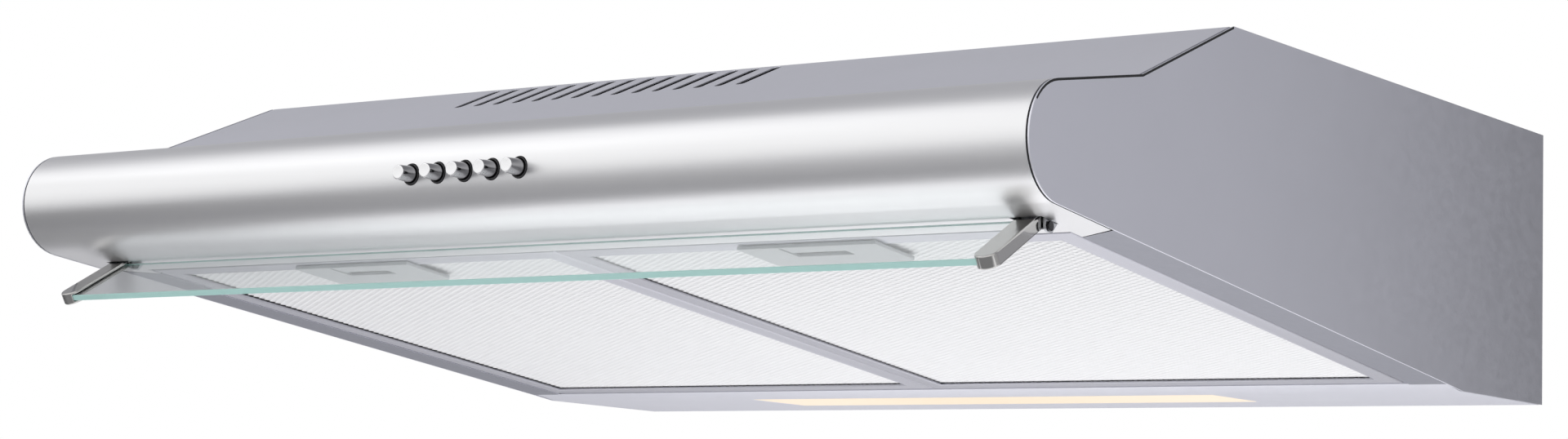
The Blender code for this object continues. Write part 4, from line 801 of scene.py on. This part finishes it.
# ---------------------------------------------------------------- housing
@dataclass
class Housing:
    """Nose, top, sides, back and lamp strip.

    Attributes:
        shape: The shared outline.
        hem: Rounding of a cut sheet edge.
        side_hem: Rounding of a side panel's edges.
        bend: Radius of a fold.
        return_fold: Depth of the fold behind the crease.
        flat_rows: Divisions of the flats on either side of the nose.
        nose_steps: Divisions round the nose.
        columns: Divisions across the nose.
        rim: Width of the rim folded in under each side.
        collar_radius: Radius of a button hole.
        slot_half: Half the width of the slot for a visor arm.
        slot_rows: Wall to the front and rear ends of that slot.
        slot_drop: How far the slot's cutter starts below the pin.
        slot_rise: How far it goes above the pin.
        seam_gap: Gap between the top panel and a side panel.
        seam_width: Width of the strip of painted shade along that gap.
    """

    shape: HoodShape
    hem: float = 0.00022
    side_hem: float = 0.00032
    bend: float = 0.0016
    return_fold: float = 0.0140
    flat_rows: int = 10
    nose_steps: int = 72
    columns: int = 60
    rim: float = 0.0210
    collar_radius: float = 0.0052
    slot_half: float = 0.0079
    slot_rows: Point = (0.4875, 0.4735)
    slot_drop: float = 0.0040
    slot_rise: float = 0.0090
    seam_gap: float = 0.0006
    seam_width: float = 0.0011

    def build(self) -> None:
        """Builds and dresses every sheet of the housing."""
        self.nose()
        self.top()
        soften(self.shape.frame, "lamp_panel", SILVER, self.hem, angle=26.0, smooth=30.0)
        for side in Side:
            self.side(side)
        for node in ("back_panel", "front_rail", "switch_hanger"):
            soften(self.shape.frame, node, ZINC, self.hem)

    def nose(self) -> None:
        """The rolled front, with its button holes and the slots of the visor arms."""
        shape = self.shape
        start = (-shape.flange_tab, shape.under(shape.flange_tab))
        corner = (shape.crease[0], shape.shelf(-shape.crease[0]))
        roll = shape.nose_arc(self.nose_steps)
        profile = between(start, roll[0], self.flat_rows) + roll
        profile += between(roll[-1], corner, self.flat_rows)[1:]
        behind = (corner[0], corner[1] - self.return_fold)
        fold = rounded([profile[-1], corner, behind], self.bend)
        made = folded_sheet("nose_skin", profile + fold[1:], shape.panel_half, shape.sheet, self.columns)
        for cutter in [self.flange_cut(), *self.hole_cuts(), *self.slot_cuts()]:
            boolean(made, cutter)
        fit(shape.frame, settle(made, 40.0), "front_panel", STAINLESS)

    def flange_cut(self) -> Piece:
        """What comes off the flange so that a slanted tab is left at each end."""
        shape = self.shape
        tab = shape.half - self.rim
        slant = shape.flange_edge + (shape.half - shape.panel_half) * 0.5
        rear = shape.flange_tab - 0.0040
        outline = [(-tab, -shape.flange_edge), (tab, -shape.flange_edge), (tab, -shape.flange_tab)]
        outline += [(shape.half, -slant), (shape.half, -rear), (-shape.half, -rear), (-shape.half, -slant)]
        outline.append((-tab, -shape.flange_tab))
        height = shape.under(shape.flange_tab)
        return prism("flange_cut", Plane.XY, outline, height - 0.006, height + 0.008)

    def hole_cuts(self) -> list[Piece]:
        """The button holes."""
        cuts = []
        front, behind = -self.shape.depth - 0.004, -self.shape.depth + 0.008
        for number in range(1, 6):
            low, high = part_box(f"button_{number}")
            middle = (low + high) / 2
            ring = arc((middle.x, middle.z), self.collar_radius, 0, 2 * pi, 40)[:-1]
            cuts.append(prism("button_hole", Plane.XZ, ring, front, behind))
        return cuts

    def slot_cuts(self) -> list[Piece]:
        """The slots that the visor's arms swing in."""
        cuts = []
        for side in Side:
            low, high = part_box(f"visor_pin_{side.word}")
            middle = (low + high) / 2
            first = (middle.x - self.slot_half, -self.slot_rows[0], middle.z - self.slot_drop)
            last = (middle.x + self.slot_half, -self.slot_rows[1], middle.z + self.slot_rise)
            cuts.append(block("arm_slot", first, last))
        return cuts

    def top(self) -> None:
        """Flat top and slope in one sheet, with a soft fold, clean cut slots and a gap at each side."""
        made = copy_node("top_panel")
        edge = max(vertex.co.x for vertex in made.data.vertices)
        for vertex in made.data.vertices:
            if abs(vertex.co.x) > edge - 0.00005:
                vertex.co.x -= copysign(self.seam_gap, vertex.co.x)
        round_edges(made, self.hem, 2, 26.0)
        weigh(made)
        fit(self.shape.frame, settle(made, 30.0), "top_panel", SILVER)

    def side(self, side: Side) -> None:
        """A side panel, whose outer edge catches a thin light line."""
        node = f"side_panel_{side.word}"
        made = copy_node(node)
        self.seam(made)
        round_edges(made, self.side_hem, 3, 40.0)
        weigh(made)
        settle(made, 35.0)
        kinds = [max(polygon.material_index, self.side_kind(polygon)) for polygon in made.data.polygons]
        fit(self.shape.frame, made, node, SILVER, SHADED_RIM_SILVER, SEAM_PAINTED_SHADE)
        made.data.polygons.foreach_set("material_index", kinds)

    def seam(self, made: Piece) -> None:
        """Marks off a strip along the shelf and the slope of a side panel, which takes near black painted
        shade in the seam.
        """
        bm = bmesh.new()
        bm.from_mesh(made.data)
        limit = self.shape.half - 0.0001
        upright = [face for face in bm.faces if abs(face.normal.x) > 0.99]
        plate = [face for face in upright if abs(face.calc_center_median().x) > limit]
        inset = bmesh.ops.inset_region(bm, faces=plate, thickness=self.seam_width, use_even_offset=True)
        for face in inset["faces"]:
            beside = [other.normal for edge in face.edges for other in edge.link_faces]
            if any(abs(normal.x) < 0.5 and 0.6 < normal.z < 0.995 for normal in beside):
                # This strip takes the near black painted shade of the seam.
                face.material_index = 2
        bm.to_mesh(made.data)
        bm.free()

    def side_kind(self, polygon: bpy.types.MeshPolygon) -> int:
        """Which finish a face of a side panel takes: 0 the plate, 1 its rim in painted shade, 2 near black
        painted shade on the flange faces in the seams.
        """
        shape = self.shape
        if abs(polygon.center.x) > shape.half - shape.sheet - 0.0001 or abs(polygon.normal.x) > 0.5:
            return 0
        # Faces that point down under the rim take the darker silver as painted shade.
        facing_down = polygon.normal.z < -0.9 and polygon.center.y > -shape.flange_edge
        return 1 if facing_down else 2


# ---------------------------------------------------------------- buttons
@dataclass
class Controls:
    """Push buttons with chrome flanks in painted shade, and the switch bank behind them.

    Attributes:
        stand: How far a button stands out of the nose.
        hidden: How far its flank goes on behind the nose.
        dish: Depth of the dish in its face.
        tip_radius: Radius at its face.
        base_radius: Radius at the nose.
        stem_radius: Radius of the stem that reaches the switch bank.
        soft: Radius of the rolled rim round its face.
        chamfer: Break of its hidden edges.
    """

    frame: dict
    stand: float = 0.0090
    hidden: float = 0.0075
    dish: float = 0.00015
    tip_radius: float = 0.0034
    base_radius: float = 0.0040
    stem_radius: float = 0.0020
    soft: float = 0.0005
    chamfer: float = 0.0004

    def build(self) -> None:
        """Builds the buttons and dresses what is behind them."""
        for number in range(1, 6):
            self.button(number)
        soften(self.frame, "switch_collar_frame", BLACK_PLASTIC, 0.0002, angle=50.0)
        soften(self.frame, "switch_bank", PALE_PLASTIC, 0.0008, 3, 50.0)

    def button(self, number: int) -> None:
        """One button, with a rolled rim round its face."""
        low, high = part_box(f"button_{number}")
        middle = (low + high) / 2
        length = high.y - low.y
        tip, base, stem = self.tip_radius, self.base_radius, self.stem_radius
        back = self.stand + self.hidden
        profile = [(0.0, -self.dish), (tip * 0.55, -self.dish * 0.7), (tip - self.soft - 0.0001, 0.0)]
        profile += arc((tip - self.soft, -self.soft), self.soft, pi / 2, 0.0, 6)
        profile += [(base, -self.stand), (base, self.chamfer - back), (base - self.chamfer, -back)]
        profile += [(stem, -back), (stem, 0.0003 - length), (stem - 0.0003, -length), (0.0, -length)]
        place = Matrix.Translation((middle.x, low.y, middle.z)) @ Matrix.Rotation(pi / 2, 4, "X")
        made = turned(f"push_button_{number}", profile, place)
        # The face keeps the bright chrome; every other face takes the darker copy as painted shade.
        kinds = [0 if polygon.normal.y < -0.6 else 1 for polygon in made.data.polygons]
        fit(self.frame, made, f"button_{number}", CHROME, FLANK_CHROME_PAINTED_SHADE)
        made.data.polygons.foreach_set("material_index", kinds)


# ---------------------------------------------------------------- visor
@dataclass
class Visor:
    """Glass strip, arms, pins and brackets.

    Attributes:
        tilt: Tilt of the visor at rest.
        arm_length: Pivot to the arm's front end.
        arm_width: Width of an arm.
        arm_thick: Thickness of an arm.
        arm_heel: How far an arm goes on behind its pivot.
        rise: Height of the arms' middle above the pivot.
        glass_thick: Thickness of the glass.
        glass_front: Pivot to its front edge.
        glass_rear: Pivot to its rear edge.
        glass_grip: How far an arm overlaps the glass.
        ease: Clearance round the glass in its groove.
    """

    frame: dict
    tilt: float = radians(30.0)
    arm_length: float = 0.0437
    arm_width: float = 0.0110
    arm_thick: float = 0.0062
    arm_heel: float = 0.0030
    rise: float = 0.0027
    glass_thick: float = 0.0030
    glass_front: float = 0.0420
    glass_rear: float = 0.0028
    glass_grip: float = 0.0080
    ease: float = 0.0003

    def build(self) -> None:
        """Builds both arms and the glass between them."""
        for side in Side:
            self.arm(side)
            self.mounting(side)
        self.glass()

    def place(self) -> Matrix:
        """The visor's own frame: origin on the pivot, Y along the arms."""
        low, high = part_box("visor_pin_right")
        middle = (low + high) / 2
        return Matrix.Translation((0.0, middle.y, middle.z)) @ Matrix.Rotation(self.tilt, 4, "X")

    def pin_x(self, side: Side) -> float:
        """The middle of an arm."""
        low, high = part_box(f"visor_arm_{side.word}")
        return (low.x + high.x) / 2

    def arm(self, side: Side) -> None:
        """A cast arm: a bar with soft edges and a round end, grooved for the glass."""
        x, radius = self.pin_x(side), self.arm_width / 2
        front = arc((x, -self.arm_length + radius), radius, pi, 2 * pi, 28)
        heel, behind = radius - 0.0004, self.arm_heel
        outline = [(x + radius, 0.0), (x + heel, behind), (x - heel, behind), (x - radius, 0.0)]
        low, high = self.rise - self.arm_thick / 2, self.rise + self.arm_thick / 2
        made = prism(f"cast_arm_{side.word}", Plane.XY, outline + front, low, high)
        round_edges(made, 0.0008, 4, 40.0)
        settle(made)
        inner = x - side.value * (radius + 0.002)
        depth = x + side.value * (self.glass_grip - radius + self.ease)
        half = self.glass_thick / 2 + self.ease
        first = (min(inner, depth), -self.glass_front - self.ease, self.rise - half)
        last = (max(inner, depth), -self.glass_rear + self.ease, self.rise + half)
        boolean(made, block("groove", first, last))
        weigh(made)
        settle(made, 30.0)
        made.data.transform(self.place())
        fit(self.frame, made, f"visor_arm_{side.word}", ARM_CHROME)

    def mounting(self, side: Side) -> None:
        """The bracket and the pin of one arm."""
        soften(self.frame, f"visor_bracket_{side.word}", ZINC, 0.0002)
        soften(self.frame, f"visor_pin_{side.word}", DARK_STEEL, 0.0002)

    def glass(self) -> None:
        """The clear strip; its long edges are ground and look green."""
        half = self.pin_x(Side.RIGHT) - self.arm_width / 2 + self.glass_grip
        low, high = self.rise - self.glass_thick / 2, self.rise + self.glass_thick / 2
        made = block("visor_pane", (-half, -self.glass_front, low), (half, -self.glass_rear, high))
        round_edges(made, 0.0004, 3, 40.0)
        weigh(made)
        settle(made, 30.0)
        kinds = [0 if abs(polygon.normal.z) > 0.97 else 1 for polygon in made.data.polygons]
        made.data.transform(self.place())
        fit(self.frame, made, "visor_glass", GLASS_FACE, GLASS_EDGE)
        made.data.polygons.foreach_set("material_index", kinds)


# ---------------------------------------------------------------- filters
@dataclass
class GreaseFilter:
    """A filter cassette: frame, expanded mesh, pleated core, latch plate and latch.

    Attributes:
        shape: The shared outline.
        side: Left or right filter.
        front_depth: Wall to the filter's front edge.
        border: Width of the casing round the window.
        thick: Thickness of the casing.
        lift: Height of the hinge line above the casing's face.
        inset: Hinge line to the casing's rear edge.
        wall: Wall of the casing.
        bead: Depth of the beaded lip round the window.
        hook_half: Half the width of a rear hook.
        hook_reach: How far a hook goes behind the hinge line.
        neck_half: Half the width of the latch's slot.
        neck_start: Front edge to the start of that slot.
        latch_space: Front edge to its end, and to the mesh.
        mouth_half: Half the width of the opening for the latch's tongue.
        overlap: How far the mesh goes in under the casing.
        seat: Height of the mesh above the casing's wall.
        strand: Thickness of the mesh.
        cell_x: Length of a diamond.
        cell_y: Width of a diamond.
        opening: Share of a diamond that is open.
        twist: How much a strand stands on edge.
    """

    shape: HoodShape
    side: Side
    front_depth: float = 0.4570
    border: float = 0.0110
    thick: float = 0.0100
    lift: float = 0.0050
    inset: float = 0.0030
    wall: float = 0.0008
    bead: float = 0.00025
    hook_half: float = 0.0100
    hook_reach: float = 0.0078
    neck_half: float = 0.0083
    neck_start: float = 0.0026
    latch_space: float = 0.0105
    mouth_half: float = 0.0063
    overlap: float = 0.0030
    seat: float = 0.0006
    strand: float = 0.0005
    cell_x: float = 0.00615
    cell_y: float = 0.00414
    opening: float = 0.74
    twist: float = 0.00022

    def build(self) -> None:
        """Builds the pieces of this filter."""
        self.casing()
        self.mesh()
        self.core()
        self.latch()

    def hinge(self) -> Matrix:
        """The filter's own frame: its origin on the hinge line, Y up the slope."""
        joint = next(j for j in self.shape.frame["joints"] if j["name"] == f"filter_{self.side.word}_drop")
        return Matrix.Translation(joint["pos_m"]) @ Matrix.Rotation(-self.shape.under_tilt, 4, "X")

    def span(self) -> tuple[Point, Point]:
        """Outer corners of the casing in the filter's own frame."""
        low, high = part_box(f"filter_frame_{self.side.word}")
        length = (self.front_depth - self.shape.step_depth) / cos(self.shape.under_tilt)
        return (low.x, self.inset - length), (high.x, self.inset)

    def casing(self) -> None:
        """The roll-formed frame, with a beaded lip round the window, and its hooks."""
        low, high = self.span()
        base, wall, border = -self.lift, self.wall, self.border
        top = base + self.thick
        section = rounded([(0.0, top - 0.003), (0.0, base), (border, base)], 0.0012, 4)[:-1]
        section += [(border - 0.0010, base), (border - 0.0006, base - self.bead), (border, base)]
        section += [(border + 0.0001, base + 0.0006), (border - 0.0004, base + wall + 0.0003)]
        section += [(border - 0.0020, base + wall), (wall, base + wall), (wall, top - wall)]
        section += [(border, top - wall), (border, top), (0.0, top)]
        made = mitred_frame(f"filter_casing_{self.side.word}", low, high, section)
        settle(made, 40.0)
        for cutter in self.latch_cuts(low):
            boolean(made, cutter)
        for share in (0.25, 0.75):
            x, behind = low[0] + (high[0] - low[0]) * share, high[1] - wall / 2
            first, last = (x - self.hook_half, behind, 0.0026), (x + self.hook_half, self.hook_reach, 0.0042)
            boolean(made, block("hook", first, last), "UNION")
        settle(made, 40.0)
        made.data.transform(self.hinge())
        fit(self.shape.frame, made, f"filter_frame_{self.side.word}", FRAME_ALUMINIUM)

    def latch_x(self) -> float:
        """The middle of the latch."""
        low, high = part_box(f"latch_slider_{self.side.word}")
        return (low.x + high.x) / 2

    def latch_cuts(self, low: Point) -> list[Piece]:
        """The openings for the latch's neck and tongue."""
        x, base, front = self.latch_x(), -self.lift, low[1]
        first = (x - self.neck_half, front + self.neck_start, base - 0.002)
        last = (x + self.neck_half, front + self.latch_space, base + 0.002)
        left = (x - self.mouth_half, front - 0.002, base + 0.0027)
        right = (x + self.mouth_half, front + 0.002, base + 0.0047)
        return [block("neck_slot", first, last), block("mouth", left, right)]

    def mesh(self) -> None:
        """The expanded-metal face: one sheet of diamonds whose strands stand on edge a little."""
        low, high = self.span()
        margin = self.border - self.overlap
        left, right = low[0] + margin, high[0] - margin
        front, rear = low[1] + self.latch_space, high[1] - margin
        height = -self.lift + self.wall + self.seat
        columns = int((right - left) / self.cell_x)
        rows = int((rear - front) / (self.cell_y / 2)) - 1
        vertices, faces, index = [], [], {}

        def vertex(key: tuple[int, int, int, int], x: float, y: float, z: float) -> int:
            """The number of a point, which neighbouring cells share."""
            if key not in index:
                index[key] = len(vertices)
                vertices.append((x, y, z))
            return index[key]

        start_x = (left + right) / 2 - columns * self.cell_x / 2
        for row in range(rows):
            shift = row % 2
            for column in range(columns - shift):
                u, v = 2 * column + 1 + shift, row + 1
                x, y = start_x + u * self.cell_x / 2, front + v * self.cell_y / 2
                rings = []
                for layer, lift in ((0, 0.0), (1, self.strand)):
                    outer, inner = [], []
                    for number, (du, dv) in enumerate(((1, 0), (0, 1), (-1, 0), (0, -1))):
                        reach_x, reach_y = du * self.cell_x / 2, dv * self.cell_y / 2
                        key = (u + du, v + dv, layer, 0)
                        outer.append(vertex(key, x + reach_x, y + reach_y, height + lift))
                        key = (u * 10000 + v, number, layer, 1)
                        inner_x, inner_y = x + reach_x * self.opening, y + reach_y * self.opening
                        inner.append(vertex(key, inner_x, inner_y, height + lift + dv * self.twist))
                    rings.append((outer, inner))
                (low_out, low_in), (high_out, high_in) = rings
                for k in range(4):
                    m = (k + 1) % 4
                    faces.append((low_out[m], low_out[k], low_in[k], low_in[m]))
                    faces.append((high_out[k], high_out[m], high_in[m], high_in[k]))
                    faces.append((low_in[m], low_in[k], high_in[k], high_in[m]))
        sheet = bpy.data.meshes.new("expanded")
        sheet.from_pydata(vertices, [], faces)
        made = link(f"expanded_mesh_{self.side.word}", sheet)
        made.data.transform(self.hinge())
        LOG.info("mesh of %d cells", rows * columns)
        fit(self.shape.frame, made, f"filter_mesh_{self.side.word}", MESH_ALUMINIUM)

    def core(self) -> None:
        """The pleated layer that backs the mesh."""
        soften(self.shape.frame, f"filter_core_{self.side.word}", CORE_ALUMINIUM, smooth=20.0)

    def latch(self) -> None:
        """The grey plate and the finger slide in it."""
        soften(self.shape.frame, f"latch_plate_{self.side.word}", GREY_PLASTIC, 0.0004, 3)
        soften(self.shape.frame, f"latch_slider_{self.side.word}", GREY_PLASTIC, 0.0003)


# ---------------------------------------------------------------- lamps
@dataclass
class Lamps:
    """Diffuser, tray, holders and lamps.

    Attributes:
    """

    frame: dict

    def build(self) -> None:
        """Dresses the lamp parts, with soft edges."""
        soften(self.frame, "lamp_cover", DIFFUSER, 0.0005)
        soften(self.frame, "lamp_tray", ZINC, 0.0002)
        for side in Side:
            soften(self.frame, f"lamp_bulb_{side.word}", FROSTED, smooth=40.0)
            soften(self.frame, f"lamp_holder_{side.word}", PALE_PLASTIC, smooth=40.0)


# ---------------------------------------------------------------- air parts
@dataclass
class AirParts:
    """Blower, outlet, vents and wiring, which show through the vents and from behind.

    Attributes:
    """

    frame: dict

    def build(self) -> None:
        """Dresses the inner parts."""
        plan = (
            ("blower_housing", BLACK_PLASTIC, 0.0004),
            ("motor_bracket", ZINC, 0.0003),
            ("motor", MOTOR_STEEL, 0.0),
            ("impeller", BLACK_PLASTIC, 0.0),
            ("rotor_shaft", MOTOR_STEEL, 0.0003),
            ("impeller_nut", ZINC, 0.0003),
            ("outlet_sleeve", BLACK_PLASTIC, 0.0003),
            ("damper_pin", ZINC, 0.0002),
            ("damper_flap_rear", GREY_PLASTIC, 0.0002),
            ("damper_flap_front", GREY_PLASTIC, 0.0002),
            # The vent shutter takes near black zinc: painted shade seen through the vent slots.
            ("vent_shutter", SHUTTER_ZINC_PAINTED_SHADE, 0.0),
            ("terminal_box", PALE_PLASTIC, 0.0006),
            ("cable_gland", BLACK_PLASTIC, 0.0004),
            ("run_capacitor", PALE_PLASTIC, 0.0),
        )
        for node, finish, width in plan:
            soften(self.frame, node, finish, width)


# ---------------------------------------------------------------- stage
@dataclass
class Studio:
    """Camera, pale floor and soft lights.

    Attributes:
        drop: Height of the floor below the wall face's middle.
        size: Half the width of the floor.
        turn: The camera's heading.
        lift: How far the camera looks up.
        roll: The camera's roll.
        place: Where the camera stands.
        focal: Focal length, in the units of width.
        width: Width of the picture.
        sensor: Width of the camera's sensor in millimetres.
        shift: How far the lens is shifted.
        fade: Where the cards' tone changes along X.
        bands: The room's colour at each angle: 0 degrees ahead, 90 overhead, 180 at the wall.
    """

    drop: float = 0.47
    size: float = 6.0
    turn: float = radians(-35.90)
    lift: float = radians(6.83)
    roll: float = radians(1.93)
    place: Corner = (0.9470, -1.5887, -0.18425)
    focal: float = 3833.0
    width: float = 1920.0
    sensor: float = 36.0
    shift: Point = (0.0005, -0.0026)
    fade: Point = (-1.75, -0.55)
    bands: tuple[tuple[float, Colour], ...] = (
        (-180.0, (0.46, 0.46, 0.49)),
        (-90.0, (0.60, 0.60, 0.62)),
        (-20.0, (0.66, 0.66, 0.67)),
        (-8.0, (0.80, 0.80, 0.80)),
        (8.0, (0.98, 0.98, 0.98)),
        (28.0, (1.08, 1.08, 1.08)),
        (46.0, (0.98, 0.98, 0.98)),
        (66.0, (0.72, 0.72, 0.73)),
        (88.0, (0.46, 0.46, 0.48)),
        (115.0, (0.41, 0.41, 0.43)),
        (180.0, (0.47, 0.47, 0.50)),
    )

    def build(self) -> None:
        """Sets up the whole stage."""
        self.camera()
        self.floor()
        self.world()
        self.lights()
        bpy.context.scene.view_settings.view_transform = "Standard"

    def camera(self) -> None:
        """A long lens low in front of the hood's right end."""
        made = bpy.data.objects.new("camera", bpy.data.cameras.new("camera"))
        bpy.context.scene.collection.objects.link(made)
        ahead = Vector((sin(self.turn) * cos(self.lift), cos(self.turn) * cos(self.lift), sin(self.lift)))
        right = Vector((cos(self.turn), -sin(self.turn), 0.0))
        up = right.cross(ahead)
        level = right * cos(self.roll) + up * sin(self.roll)
        upright = -right * sin(self.roll) + up * cos(self.roll)
        basis = Matrix((level, upright, -ahead)).transposed().to_4x4()
        made.matrix_world = Matrix.Translation(self.place) @ basis
        made.data.sensor_width = self.sensor
        made.data.lens = self.focal * self.sensor / self.width
        made.data.shift_x, made.data.shift_y = self.shift
        made.data.clip_start = 0.05
        bpy.context.scene.camera = made

    def floor(self) -> None:
        """A plain pale floor, and dark cards that only show in polished metal."""
        size = self.size
        made = block("floor", (-size, -size, -self.drop - 0.02), (size, size, -self.drop))
        paint, _, shader = blank_material("pale_floor")
        shader.inputs["Base Color"].default_value = (0.86, 0.86, 0.87, 1.0)
        shader.inputs["Roughness"].default_value = 0.9
        made.data.materials.append(paint)
        height = -self.drop + 0.03
        self.card("front_card", (-3.4, -1.9, height), (1.2, -0.72, height + 0.002), 0.68, 0.05)
        self.card("left_card", (-3.4, -0.70, height), (-0.56, -0.31, height + 0.002), 0.50, 0.03)
        self.card("rear_card", (0.24, 0.45, -0.42), (0.62, 0.452, 0.60), 0.02, 0.02)

    def card(self, name: str, low: Corner, high: Corner, near: float, far: float) -> None:
        """A flat card that is seen only in reflections.

        Args:
            name: Object name.
            low: Its lowest corner.
            high: Its highest corner.
            near: Its grey value at the right.
            far: Its grey value at the left.
        """
        made = block(name, low, high)
        paint, tree, shader = blank_material(name)
        shader.inputs["Roughness"].default_value = 1.0
        place = tree.nodes.new("ShaderNodeTexCoord")
        split = tree.nodes.new("ShaderNodeSeparateXYZ")
        fade = tree.nodes.new("ShaderNodeMapRange")
        fade.inputs["From Min"].default_value = self.fade[0]
        fade.inputs["From Max"].default_value = self.fade[1]
        fade.inputs["To Min"].default_value = far
        fade.inputs["To Max"].default_value = near
        tree.links.new(place.outputs["Object"], split.inputs[0])
        tree.links.new(split.outputs["X"], fade.inputs["Value"])
        tree.links.new(fade.outputs["Result"], shader.inputs["Base Color"])
        made.data.materials.append(paint)
        made.visible_camera = False
        made.visible_diffuse = False
        made.visible_shadow = False
        made.visible_transmission = False

    def world(self) -> None:
        """A soft room whose brightness changes round the X axis, and white where the camera looks at it."""
        world = bpy.data.worlds.new("studio")
        bpy.context.scene.world = world
        world.use_nodes = True
        tree = world.node_tree
        room = tree.nodes["Background"]
        place = tree.nodes.new("ShaderNodeTexCoord")
        split = tree.nodes.new("ShaderNodeSeparateXYZ")
        turn = tree.nodes.new("ShaderNodeMath")
        turn.operation = "ARCTAN2"
        ahead = tree.nodes.new("ShaderNodeMath")
        ahead.operation = "MULTIPLY"
        ahead.inputs[1].default_value = -1.0
        share = tree.nodes.new("ShaderNodeMapRange")
        share.inputs["From Min"].default_value = -pi
        share.inputs["From Max"].default_value = pi
        ramp = self.room_ramp(tree)
        white = tree.nodes.new("ShaderNodeBackground")
        white.inputs["Color"].default_value = (1.0, 1.0, 1.0, 1.0)
        seen = tree.nodes.new("ShaderNodeLightPath")
        mix = tree.nodes.new("ShaderNodeMixShader")
        tree.links.new(place.outputs["Generated"], split.inputs[0])
        tree.links.new(split.outputs["Y"], ahead.inputs[0])
        tree.links.new(split.outputs["Z"], turn.inputs[0])
        tree.links.new(ahead.outputs[0], turn.inputs[1])
        tree.links.new(turn.outputs[0], share.inputs["Value"])
        tree.links.new(share.outputs["Result"], ramp.inputs["Fac"])
        tree.links.new(ramp.outputs["Color"], room.inputs["Color"])
        tree.links.new(seen.outputs["Is Camera Ray"], mix.inputs["Fac"])
        tree.links.new(room.outputs[0], mix.inputs[1])
        tree.links.new(white.outputs[0], mix.inputs[2])
        tree.links.new(mix.outputs[0], tree.nodes["World Output"].inputs["Surface"])

    def room_ramp(self, tree: Tree) -> Node:
        """Adds the colour ramp of the room's bands to the world's node tree."""
        ramp = tree.nodes.new("ShaderNodeValToRGB")
        ramp.color_ramp.interpolation = "EASE"
        bands = ramp.color_ramp.elements
        while len(bands) > 1:
            bands.remove(bands[-1])
        bands[0].position = 0.0
        bands[0].color = (*self.bands[0][1], 1.0)
        for degrees, tone in self.bands[1:]:
            band = bands.new((degrees + 180.0) / 360.0)
            band.color = (*tone, 1.0)
        return ramp

    def lights(self) -> None:
        """A bright table below and a weak soft box high on the left."""
        height = -self.drop + 0.012
        self.soft_box("table", (0.42, -0.06, height), (0.42, -0.06, 1.0), (1.9, 1.15), 4.4)
        self.soft_box("key", (-1.6, -1.3, 1.7), (-0.1, -0.45, 0.0), (1.4, 1.4), 3.0)

    def soft_box(self, name: str, place: Corner, aim: Corner, size: Point, power: float) -> None:
        """An area light that is never seen directly.

        Args:
            name: Name of the light.
            place: Where it stands.
            aim: The point that it faces.
            size: Its width and height.
            power: Its power in watts.
        """
        light = bpy.data.lights.new(name, "AREA")
        light.shape = "RECTANGLE"
        light.size, light.size_y = size
        light.energy = power
        made = bpy.data.objects.new(name, light)
        bpy.context.scene.collection.objects.link(made)
        ahead = Vector(aim) - Vector(place)
        made.location = place
        made.rotation_euler = ahead.to_track_quat("-Z", "Y").to_euler()
        made.visible_camera = False


def main() -> None:
    """Loads the frame, builds the stage and each sub-assembly, and finishes."""
    logging.basicConfig(level=logging.INFO, format="%(name)s: %(message)s")
    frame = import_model()
    Studio().build()
    shape = HoodShape(frame)
    Housing(shape).build()
    Controls(frame).build()
    Visor(frame).build()
    for side in Side:
        GreaseFilter(shape, side).build()
    Lamps(frame).build()
    AirParts(frame).build()


if __name__ == "__main__":
    main()
